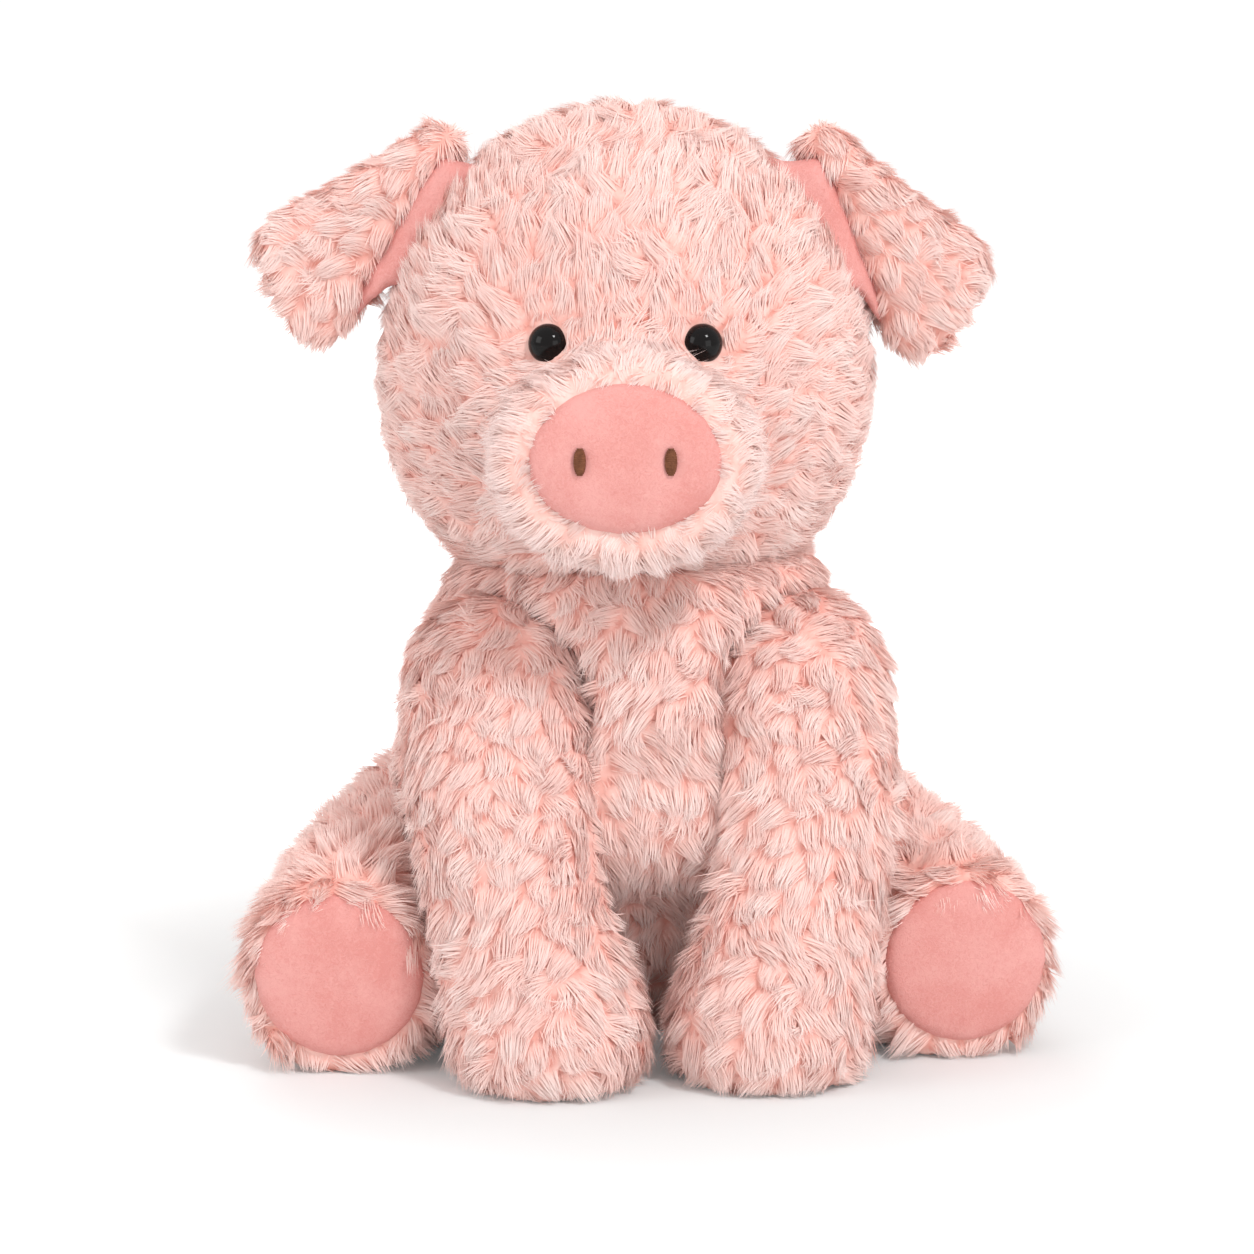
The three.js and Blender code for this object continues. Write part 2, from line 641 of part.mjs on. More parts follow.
for (const [name, side] of sides) {
  const outward = X.clone().multiplyScalar(side);
  const backSeam = outward.clone().multiplyScalar(SEAM / 2);
  const shoulder = shoulderOf(side);
  const hip = hipOf(side);
  const frontSkin = frontLeg(side, 0).subtract(frontLeg(side, PLUSH)).subtract(frontSole(side, SEAM));
  const frontStuffing = frontLeg(side, PLUSH + SEAM).subtract(frontSole(side, SEAM));
  const hindSkin = hindLeg(side, 0).subtract(hindLeg(side, PLUSH)).subtract(hindSole(side, SEAM));
  const hindStuffing = hindLeg(side, PLUSH + SEAM).subtract(hindSole(side, SEAM));
  pig.add(
    piece(`body_back_panel_${name}`, bodyBack.intersect(beyond(outward, backSeam)), plushPink),
    piece(`front_leg_skin_${name}`, frontSkin, plushPink, shoulder),
    piece(`front_leg_sole_${name}`, frontSole(side, 0), velourPink, shoulder),
    piece(`front_leg_stuffing_${name}`, frontStuffing, fibreWhite, shoulder),
    piece(`hind_leg_skin_${name}`, hindSkin, plushPink, hip),
    piece(`hind_leg_sole_${name}`, hindSole(side, 0), velourPink, hip),
    piece(`hind_leg_stuffing_${name}`, hindStuffing, fibreWhite, hip),
  );
}

// Head: everything above the neck, in a group that turns on it
const head = new THREE.Group();
head.position.set(HEAD_OFFSET, 0, NECK_HEIGHT);
head.rotation.z = radians(HEAD_TURN);
pig.add(head);

const ears = sides.map(([name]) => earFrame(name));
const overNeck = beyond(Z, new THREE.Vector3(0, 0, SEAM / 2));
const crownSeam = (shift) => new THREE.Vector3(0, HEAD_SET_BACK + shift, 0);
const fittings = [
  ...ears.map((frame) => earBead(frame, EAR_BEAD + SEAM, SEAM)),
  ...sides.map(([, side]) => eyeRecess(side).add(washerRecess(side))),
].reduce((all, recess) => all.add(recess));
const headSkin = egg(0).subtract(egg(PLUSH)).subtract(fittings).intersect(overNeck);
const headFront = headSkin.subtract(muzzle(PLUSH)).intersect(beyond(FORWARD, crownSeam(-SEAM / 2)));
const muzzlePanel = muzzle(0).subtract(muzzle(PLUSH)).subtract(egg(-SEAM)).subtract(snoutPad(SEAM));
const nostrilHoles = nostril(SIDES.left, SEAM).add(nostril(SIDES.right, SEAM));
const headStuffing = egg(PLUSH + SEAM).add(muzzle(PLUSH + SEAM))
  .intersect(overNeck).subtract(snoutPad(SEAM)).subtract(fittings);

head.add(
  piece('head_front_panel', headFront, plushPink),
  piece('head_back_panel', headSkin.intersect(beyond(Y, crownSeam(SEAM / 2))), plushPink),
  piece('muzzle_panel', muzzlePanel, muzzlePink),
  piece('snout_pad', snoutPad(0).subtract(nostrilHoles), velourPink, snoutCentre),
  piece('head_stuffing', headStuffing, fibreWhite),
);

sides.forEach(([name, side], i) => {
  const { point } = eyeSeat(side);
  head.add(
    piece(`nostril_${name}`, nostril(side, 0), threadBrown, snoutCentre),
    piece(`eye_${name}`, eye(side), eyeBlack, point),
    piece(`eye_washer_${name}`, washer(side), washerWhite, point),
    piece(`ear_outer_${name}`, earOuter(ears[i]), plushPink, ears[i].pivot),
    piece(`ear_lining_${name}`, earLining(ears[i]), velourPink, ears[i].pivot),
  );
});

export default pig;
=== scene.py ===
"""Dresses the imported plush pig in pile, velour, thread and gloss, and sets its stage, light and camera.

Metres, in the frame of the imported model: +Z up, the pig faces -Y, and left and right are its own sides.
"""
import logging
import math
from dataclasses import dataclass, field
from enum import Enum

import bmesh
import bpy
import numpy as np
from bpy.types import ID, Material, Mesh, Node, NodeSocket, NodeTree, Object
from mathutils import Matrix, Vector, noise
from mathutils.bvhtree import BVHTree
from mathutils.kdtree import KDTree


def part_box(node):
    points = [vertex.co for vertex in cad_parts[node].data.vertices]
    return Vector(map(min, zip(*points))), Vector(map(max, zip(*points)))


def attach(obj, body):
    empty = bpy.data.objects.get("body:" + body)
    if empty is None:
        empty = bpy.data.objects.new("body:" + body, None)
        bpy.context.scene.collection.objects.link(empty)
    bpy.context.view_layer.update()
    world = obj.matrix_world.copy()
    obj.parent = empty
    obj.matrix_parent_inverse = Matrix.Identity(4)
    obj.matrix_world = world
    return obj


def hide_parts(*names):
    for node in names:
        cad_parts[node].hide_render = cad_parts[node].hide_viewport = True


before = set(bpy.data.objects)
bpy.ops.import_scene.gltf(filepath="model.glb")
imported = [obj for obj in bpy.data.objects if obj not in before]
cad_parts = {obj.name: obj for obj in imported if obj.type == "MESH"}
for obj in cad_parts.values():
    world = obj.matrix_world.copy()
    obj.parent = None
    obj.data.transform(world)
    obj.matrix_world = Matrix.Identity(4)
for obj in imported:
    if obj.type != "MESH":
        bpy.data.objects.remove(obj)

log = logging.getLogger("plush_pig")

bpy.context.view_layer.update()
MM = 0.001
SQUARE_MM = MM * MM
UP = np.array((0.0, 0.0, 1.0))
FLOOR_LIFT = 0.3 * MM
TINY = 1e-9
WELD = 1e-6
BAKE_MAP = "OFBake"
Array = np.ndarray
Colour = tuple[float, float, float]


class Side(Enum):
    """The pig's own sides, with the sign of X on each."""

    LEFT = 1
    RIGHT = -1

    @property
    def word(self) -> str:
        """The side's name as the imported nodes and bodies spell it."""
        return self.name.lower()


def unit(vectors: Array) -> Array:
    """Vectors of length one along the last axis."""
    return vectors / np.maximum(np.linalg.norm(vectors, axis=-1, keepdims=True), TINY)


def across_part(vectors: Array, normals: Array) -> Array:
    """The parts of vectors that lie along the cloth."""
    return vectors - normals * np.sum(vectors * normals, axis=-1, keepdims=True)


def across(vectors: Array, normals: Array) -> Array:
    """Unit vectors of the parts that lie along the cloth."""
    return unit(across_part(vectors, normals))


def ease(values: Array, low: float, high: float) -> Array:
    """Rises smoothly from nought at the low value to one at the high one."""
    way = np.clip((values - low) / (high - low), 0.0, 1.0)
    return way * way * (3.0 - 2.0 * way)


def middle_of(node: str) -> Array:
    """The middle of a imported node's box."""
    low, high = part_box(node)
    return (np.array(low) + np.array(high)) / 2


def points_of(mesh: Mesh) -> Array:
    """A mesh's points as rows of an array.

    Args:
        mesh: The mesh.

    Returns:
        Its points.
    """
    points = np.empty(len(mesh.vertices) * 3)
    mesh.vertices.foreach_get("co", points)
    return points.reshape(-1, 3)


def tree_of(mesh: Mesh) -> BVHTree:
    """A search tree over a mesh's faces.

    Args:
        mesh: The mesh.

    Returns:
        The tree.
    """
    bm = bmesh.new()
    bm.from_mesh(mesh)
    tree = BVHTree.FromBMesh(bm)
    bm.free()
    return tree


def add_object(name: str, data: ID) -> Object:
    """Links an object into the scene, at the origin.

    Args:
        name: The object's name.
        data: Its mesh, lamp or camera.

    Returns:
        The new object.
    """
    made = bpy.data.objects.new(name, data)
    bpy.context.scene.collection.objects.link(made)
    return made


def mesh_from(name: str, bm: bmesh.types.BMesh) -> Mesh:
    """Turns a bmesh into a mesh that is shaded smooth, and frees it.

    Args:
        name: The mesh's name.
        bm: The bmesh to take.

    Returns:
        The new mesh.
    """
    for face in bm.faces:
        face.smooth = True
    mesh = bpy.data.meshes.new(name)
    bm.to_mesh(mesh)
    bm.free()
    return mesh


def smooth_points(bm: bmesh.types.BMesh, passes: int) -> None:
    """Draws each point half way to the middle of its neighbours, in so many passes."""
    for _ in range(passes):
        bmesh.ops.smooth_vert(bm, verts=bm.verts[:], factor=0.5, use_axis_x=True, use_axis_y=True, use_axis_z=True)


def corners_of(bm: bmesh.types.BMesh) -> tuple[Array, Array]:
    """The faces of a bmesh as arrays.

    Args:
        bm: The bmesh.

    Returns:
        The point of each face corner, and the first corner of each face.
    """
    bm.verts.index_update()
    corners = np.array([point.index for face in bm.faces for point in face.verts])
    sizes = [len(face.verts) for face in bm.faces]
    return corners, np.cumsum([0, *sizes[:-1]])


def apply_modifiers(piece: Object) -> None:
    """Makes an object's modifiers part of its mesh.

    Args:
        piece: The object to settle.
    """
    bpy.context.view_layer.update()
    settled = bpy.data.meshes.new_from_object(piece.evaluated_get(bpy.context.evaluated_depsgraph_get()))
    piece.modifiers.clear()
    piece.data = settled


def soften(form: Object, voxel: float, passes: int) -> None:
    """Remeshes a closed form and smooths it.

    Args:
        form: The form.
        voxel: The remesh size.
        passes: How often its points are smoothed.
    """
    remesh = form.modifiers.new("Remesh", "REMESH")
    remesh.mode = "VOXEL"
    remesh.voxel_size = voxel
    apply_modifiers(form)
    bm = bmesh.new()
    bm.from_mesh(form.data)
    smooth_points(bm, passes)
    form.data = mesh_from(form.name, bm)


def soft_copy(name: str, nodes: tuple[str, ...], voxel: float, passes: int) -> Object:
    """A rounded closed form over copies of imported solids.

    Args:
        name: The object's name.
        nodes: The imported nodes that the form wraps.
        voxel: The remesh size.
        passes: How often its points are smoothed.

    Returns:
        The form.
    """
    bm = bmesh.new()
    for node in nodes:
        bm.from_mesh(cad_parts[node].data)
    bmesh.ops.remove_doubles(bm, verts=bm.verts[:], dist=WELD)
    form = add_object(name, mesh_from(name, bm))
    soften(form, voxel, passes)
    return form


@dataclass(frozen=True)
class Stuffing:
    """How hard fibre fill presses a cloth outwards.

    Attributes:
        pressure: The cloth's inner pressure.
        frames: How many frames the cloth moves for.
        give: The furthest that a point of the cloth may move.
    """

    pressure: float = 4.0
    frames: int = 20
    give: float = 1.2 * MM

    def press(self, form: Object) -> None:
        """Swells a closed form as stuffed cloth and keeps the result in its mesh.

        Args:
            form: The closed form to swell.
        """
        scene = bpy.context.scene
        rest = points_of(form.data)
        cloth = form.modifiers.new("Cloth", "CLOTH")
        cloth.settings.use_pressure = True
        cloth.settings.uniform_pressure_force = self.pressure
        cloth.settings.effector_weights.gravity = 0.0
        cloth.point_cache.frame_end = self.frames
        for step in range(1, self.frames + 1):
            scene.frame_set(step)
        apply_modifiers(form)
        scene.frame_set(1)
        moved = points_of(form.data) - rest
        reach = np.linalg.norm(moved, axis=1, keepdims=True)
        moved *= np.minimum(1.0, self.give / np.maximum(reach, TINY))
        settled = rest + moved
        settled[:, 2] = np.maximum(settled[:, 2], FLOOR_LIFT)
        form.data.vertices.foreach_set("co", settled.ravel())
        form.data.update()


class Nodes:
    """Adds and joins the nodes of one material or group."""

    def __init__(self, tree: NodeTree) -> None:
        """Keeps the tree that the nodes go into."""
        self.tree = tree

    def add(self, kind: str, **values: object) -> Node:
        """Adds a node and sets its properties.

        Args:
            kind: The node's type name.
            **values: Its properties.

        Returns:
            The node.
        """
        node = self.tree.nodes.new(kind)
        for name, value in values.items():
            setattr(node, name, value)
        return node

    def link(self, source: NodeSocket, target: NodeSocket) -> None:
        """Joins an output to an input."""
        self.tree.links.new(source, target)

    @staticmethod
    def put(node: Node, values: dict[str, object]) -> None:
        """Sets plain values on a node's inputs, by their names."""
        for name, value in values.items():
            node.inputs[name].default_value = value

    def pile_map(self) -> tuple[NodeSocket, NodeSocket]:
        """Reads the pile map.

        Returns:
            Its U and V.
        """
        place = self.add("ShaderNodeUVMap", uv_map=BAKE_MAP)
        split = self.add("ShaderNodeSeparateXYZ")
        self.link(place.outputs["UV"], split.inputs[0])
        return split.outputs["X"], split.outputs["Y"]

    def ramp(self, source: NodeSocket, stops: list[tuple[float, Colour]]) -> NodeSocket:
        """A colour ramp over a value.

        Args:
            source: The value.
            stops: Places on the ramp and their colours.

        Returns:
            The ramp's colour.
        """
        node = self.add("ShaderNodeValToRGB")
        elements = node.color_ramp.elements
        while len(elements) < len(stops):
            elements.new(0.5)
        for element, (place, colour) in zip(elements, stops):
            element.position = place
            element.color = (*colour, 1.0)
        self.link(source, node.inputs["Fac"])
        return node.outputs["Color"]

    def mix(self, share: NodeSocket, first: object, second: object) -> NodeSocket:
        """Mixes two colours, each a socket or a plain colour.

        Args:
            share: How much of the second shows.
            first: The first colour.
            second: The second colour.

        Returns:
            The mixed colour.
        """
        node = self.add("ShaderNodeMix", data_type="RGBA")
        self.link(share, node.inputs[0])
        for socket, colour in ((node.inputs[6], first), (node.inputs[7], second)):
            if isinstance(colour, NodeSocket):
                self.link(colour, socket)
            else:
                socket.default_value = (*colour, 1.0)
        return node.outputs[2]


class NapGroup:
    """The node group for cloth nap: a fine grain, and soft patches where the nap is brushed another way."""

    NAME = "brushed_nap"

    @classmethod
    def tree(cls) -> NodeTree:
        """Builds the group once.

        Returns:
            The group's node tree, with Grain and Patch out of a Grain Scale and a Patch Scale.
        """
        known = bpy.data.node_groups.get(cls.NAME)
        if known:
            return known
        tree = bpy.data.node_groups.new(cls.NAME, "ShaderNodeTree")
        nodes = Nodes(tree)
        for name in ("Grain Scale", "Patch Scale"):
            tree.interface.new_socket(name, in_out="INPUT", socket_type="NodeSocketFloat")
        for name in ("Grain", "Patch"):
            tree.interface.new_socket(name, in_out="OUTPUT", socket_type="NodeSocketFloat")
        given = nodes.add("NodeGroupInput")
        result = nodes.add("NodeGroupOutput")
        place = nodes.add("ShaderNodeTexCoord")
        for name, detail, distortion in (("Grain", 3.0, 1.6), ("Patch", 2.0, 0.4)):
            texture = nodes.add("ShaderNodeTexNoise")
            nodes.put(texture, {"Detail": detail, "Distortion": distortion})
            nodes.link(place.outputs["Object"], texture.inputs["Vector"])
            nodes.link(given.outputs[f"{name} Scale"], texture.inputs["Scale"])
            nodes.link(texture.outputs["Fac"], result.inputs[name])
        return tree


@dataclass(frozen=True)
class Finish:
    """A finish: one material, made the first time that it is used.

    Attributes:
        name: The material's name.
        slot: The record's material slot that it belongs to; not used.
    """

    name: str
    slot: str

    def material(self) -> Material:
        """Finds the finish's material, or makes it.

        Returns:
            The material.
        """
        known = bpy.data.materials.get(self.name)
        if known:
            return known
        made = bpy.data.materials.new(self.name)
        made.use_nodes = True
        nodes = Nodes(made.node_tree)
        self.paint(nodes, made.node_tree.nodes["Principled BSDF"])
        return made

    def paint(self, nodes: Nodes, shader: Node) -> None:
        """Sets the Principled shader up. Each finish has its own way."""
        raise NotImplementedError

    def put_on(self, piece: Object) -> None:
        """Gives a piece this finish.

        Args:
            piece: The piece to dress.
        """
        piece.data.materials.clear()
        piece.data.materials.append(self.material())


@dataclass(frozen=True)
class PileFinish(Finish):
    """Plush pile, coloured along each strand by the pile map: V runs from root to tip and U differs by tuft.

    Attributes:
        root: The colour deep in the pile, a darker coral that paints the shade among the strands.
        shaft: The colour half way up, between that painted shade and the tip.
        tip: The colour of most tips.
        blush: The colour of the pinkest tufts.
    """

    root: Colour = (0.87, 0.38, 0.31)
    shaft: Colour = (0.985, 0.66, 0.595)
    tip: Colour = (0.99, 0.83, 0.79)
    blush: Colour = (0.985, 0.73, 0.68)

    def paint(self, nodes: Nodes, shader: Node) -> None:
        """Colours the strands.

        Args:
            nodes: The material's nodes.
            shader: Its Principled shader.
        """
        tuft, way = nodes.pile_map()
        # Both ramps deepen towards the root, painted shade among the strands; the tips keep the pile's own pale
        # colour.
        pale = nodes.ramp(way, [(0.0, self.root), (0.35, self.shaft), (0.75, self.tip)])
        pink = nodes.ramp(way, [(0.0, self.root), (0.4, self.shaft), (0.85, self.blush)])
        nodes.link(nodes.mix(tuft, pale, pink), shader.inputs["Base Color"])
        nodes.put(shader, {
            "Roughness": 0.9, "Specular IOR Level": 0.0,
            "Sheen Weight": 0.3, "Sheen Roughness": 0.5, "Sheen Tint": (1.0, 0.86, 0.82, 1.0),
        })


@dataclass(frozen=True)
class NapFinish(Finish):
    """Short-napped or fibrous cloth with a brushed grain.

    Attributes:
        pale: The colour where the nap faces the light.
        deep: The colour where the nap is brushed away.
        grain: How many grains to the metre.
        patch: How many brushed patches to the metre.
        relief: How far the grain stands up.
        sheen: The weight of the nap's sheen.
    """

    pale: Colour = (0.83, 0.40, 0.37)
    deep: Colour = (0.75, 0.305, 0.275)
    grain: float = 1100.0
    patch: float = 70.0
    relief: float = 0.35 * MM
    sheen: float = 0.35

    def paint(self, nodes: Nodes, shader: Node) -> None:
        """Colours the cloth and raises its grain.

        Args:
            nodes: The material's nodes.
            shader: Its Principled shader.
        """
        nap = nodes.add("ShaderNodeGroup", node_tree=NapGroup.tree())
        nodes.put(nap, {"Grain Scale": self.grain, "Patch Scale": self.patch})
        blend = nodes.add("ShaderNodeMath", operation="MULTIPLY_ADD")
        blend.inputs[1].default_value = 0.5
        nodes.link(nap.outputs["Grain"], blend.inputs[0])
        half = nodes.add("ShaderNodeMath", operation="MULTIPLY")
        half.inputs[1].default_value = 0.5
        nodes.link(nap.outputs["Patch"], half.inputs[0])
        nodes.link(half.outputs[0], blend.inputs[2])
        nodes.link(nodes.ramp(blend.outputs[0], [(0.37, self.deep), (0.6, self.pale)]), shader.inputs["Base Color"])
        bump = nodes.add("ShaderNodeBump")
        nodes.put(bump, {"Strength": 0.6, "Distance": self.relief})
        nodes.link(nap.outputs["Grain"], bump.inputs["Height"])
        nodes.link(bump.outputs["Normal"], shader.inputs["Normal"])
        nodes.put(shader, {
            "Roughness": 0.8, "Specular IOR Level": 0.2,
            "Sheen Weight": self.sheen, "Sheen Roughness": 0.4, "Sheen Tint": (*self.pale, 1.0),
        })


@dataclass(frozen=True)
class EyeFinish(Finish):
    """Black gloss moulding whose edge shows dark brown; the pile map's V runs from the tip to the edge.

    Attributes:
        pupil: The colour of the dome.
        edge: The colour of its edge.
    """

    pupil: Colour = (0.006, 0.005, 0.005)
    edge: Colour = (0.045, 0.016, 0.010)

    def paint(self, nodes: Nodes, shader: Node) -> None:
        """Colours the dome and polishes it.

        Args:
            nodes: The material's nodes.
            shader: Its Principled shader.
        """
        _, way = nodes.pile_map()
        nodes.link(nodes.ramp(way, [(0.55, self.pupil), (0.8, self.edge)]), shader.inputs["Base Color"])
        nodes.put(shader, {"Roughness": 0.05, "Specular IOR Level": 0.15})


PLUSH = PileFinish("pale_pink_plush", "plush")
# The muzzle pile's root and shaft colours are deepened as painted shade too.
MUZZLE_PLUSH = PileFinish(
    "pale_muzzle_plush", "muzzle_plush",
    root=(0.92, 0.50, 0.43), shaft=(0.985, 0.73, 0.67), tip=(0.99, 0.84, 0.81), blush=(0.985, 0.76, 0.72),
)
VELOUR = NapFinish("salmon_velour", "velour")
THREAD = NapFinish(
    "satin_thread", "nostril_thread",
    pale=(0.235, 0.095, 0.048), deep=(0.13, 0.048, 0.024), grain=3000.0, patch=600.0, relief=0.05 * MM, sheen=0.1,
)
FIBRE = NapFinish(
    "polyester_fibre", "fibre_fill",
    pale=(0.88, 0.87, 0.84), deep=(0.70, 0.69, 0.66), grain=900.0, patch=80.0, relief=1.0 * MM, sheen=0.2,
)
CANVAS = NapFinish(
    "bag_canvas", "pellet_bag",
    pale=(0.78, 0.71, 0.60), deep=(0.60, 0.53, 0.43), grain=2200.0, patch=150.0, relief=0.2 * MM, sheen=0.1,
)
MOULDED = NapFinish(
    "washer_moulding", "washer_plastic",
    pale=(0.80, 0.79, 0.75), deep=(0.72, 0.71, 0.67), grain=1200.0, patch=200.0, relief=0.03 * MM, sheen=0.0,
)
EYE_GLOSS = EyeFinish("black_eye_gloss", "eye_gloss")


@dataclass
class Patch:
    """The mesh arrays of a piece of plush.

    Attributes:
        points: Its points.
        corners: The point of each face corner.
        starts: The first corner of each face.
        spots: The pile map's U and V at each point.
        smooth: Whether its faces are shaded smooth.
    """

    points: Array
    corners: Array
    starts: Array
    spots: Array
    smooth: Array

    def with_patch(self, other: "Patch") -> "Patch":
        """This patch and another as one.

        Args:
            other: The patch to add.

        Returns:
            Both in one.
        """
        return Patch(
            np.concatenate((self.points, other.points)),
            np.concatenate((self.corners, other.corners + len(self.points))),
            np.concatenate((self.starts, other.starts + len(self.corners))),
            np.concatenate((self.spots, other.spots)),
            np.concatenate((self.smooth, other.smooth)),
        )

    def mesh(self, name: str) -> Mesh:
        """The patch as a mesh with its pile map.

        Args:
            name: The mesh's name.

        Returns:
            The mesh.
        """
        mesh = bpy.data.meshes.new(name)
        mesh.vertices.add(len(self.points))
        mesh.vertices.foreach_set("co", self.points.ravel())
        mesh.loops.add(len(self.corners))
        mesh.loops.foreach_set("vertex_index", self.corners)
        mesh.polygons.add(len(self.starts))
        mesh.polygons.foreach_set("loop_start", self.starts)
        mesh.polygons.foreach_set("use_smooth", self.smooth)
        layer = mesh.uv_layers.new(name=BAKE_MAP)
        layer.data.foreach_set("uv", self.spots[self.corners].ravel())
        mesh.update(calc_edges=True)
        mesh.validate()
        return mesh


class Taper:
    """A tapered closed form along its way from 0 to 1, modelled once and repeated.

    Attributes:
        way: How far along the form each of its points is.
        section: Where each point lies on the form's section, a flat side up.
        corners: The point of each face corner.
        starts: The first corner of each face.
    """

    def __init__(self, sides: int) -> None:
        """Models the form.

        Args:
            sides: How many sides it has.
        """
        bm = bmesh.new()
        bmesh.ops.create_cone(
            bm, cap_ends=True, segments=sides, radius1=1.0, radius2=0.0, depth=1.0,
            matrix=Matrix.Translation((0.0, 0.0, 0.5)) @ Matrix.Rotation(math.pi, 4, "Z"),
        )
        bmesh.ops.remove_doubles(bm, verts=bm.verts[:], dist=1e-4)
        bmesh.ops.recalc_face_normals(bm, faces=bm.faces[:])
        places = np.array([point.co for point in bm.verts])
        self.way = places[:, 2]
        self.section = places[:, :2] / np.maximum(1.0 - self.way, 1e-6)[:, None]
        self.section[self.way > 0.999] = 0.0
        self.corners, self.starts = corners_of(bm)
        bm.free()

    def repeat(self, points: Array, spots: Array) -> Patch:
        """Many of the form as one patch of flat faces.

        Args:
            points: Each form's points.
            spots: The pile map's U and V at each.

        Returns:
            The patch.
        """
        count, size = points.shape[:2]
        order = np.arange(count)[:, None]
        return Patch(
            points.reshape(-1, 3),
            (self.corners[None, :] + order * size).ravel(),
            (self.starts[None, :] + order * len(self.corners)).ravel(),
            spots.reshape(-1, 2),
            np.zeros(count * len(self.starts), dtype=bool),
        )


STRAND = Taper(3)


@dataclass
class Turf:
    """One panel's cloth over its part's form, and what its pile grows by.

    Attributes:
        places: The points of the form.
        normals: Which way the form faces at each.
        corners: The panel's triangles, as numbers of points.
        flow: Which way the pile lies at each point.
        share: How much of its full height the pile has at each point.
        room: How far each point is from the form of the next part, less than nought inside it.
        hem: Nought at points that a pad covers, rising to one beside it.
        bare: Rounds that the pile is combed out of, each a middle, an axis and a radius.
    """

    places: Array
    normals: Array
    corners: Array
    flow: Array
    share: Array
    room: Array
    hem: Array
    bare: list[tuple[Array, Array, float]] = field(default_factory=list)

    RADII_DEEP = 3.0

    def near(self, points: Array) -> Array:
        """Which points lie in a bare round.

        Args:
            points: The points.

        Returns:
            True for each that does.
        """
        inside = np.zeros(points.shape[:-1], dtype=bool)
        for middle, axis, radius in self.bare:
            away = points - middle
            level = away @ axis
            aside = np.linalg.norm(away - level[..., None] * axis, axis=-1)
            inside |= (aside < radius) & (np.abs(level) < self.RADII_DEEP * radius)
        return inside

    def comb(self, points: Array) -> Array:
        """Combs points aside out of every bare round and lifts them off the floor.

        Args:
            points: The points.

        Returns:
            The points, combed.
        """
        for middle, axis, radius in self.bare:
            away = points - middle
            level = (away @ axis)[..., None]
            aside = away - level * axis
            reach = np.linalg.norm(aside, axis=-1, keepdims=True)
            push = np.where(np.abs(level) < self.RADII_DEEP * radius, radius / np.maximum(reach, TINY), 1.0)
            points = points + aside * (np.maximum(push, 1.0) - 1.0)
        points[..., 2] = np.maximum(points[..., 2], FLOOR_LIFT)
        return points


@dataclass
class Fleece:
    """What grows on a turf.

    Attributes:
        raised: The points of the form, raised to the top of the underfur.
        swell: How far from a parting each point is, from nought to one.
        coat: The strands over it.
    """

    raised: Array
    swell: Array
    coat: Patch


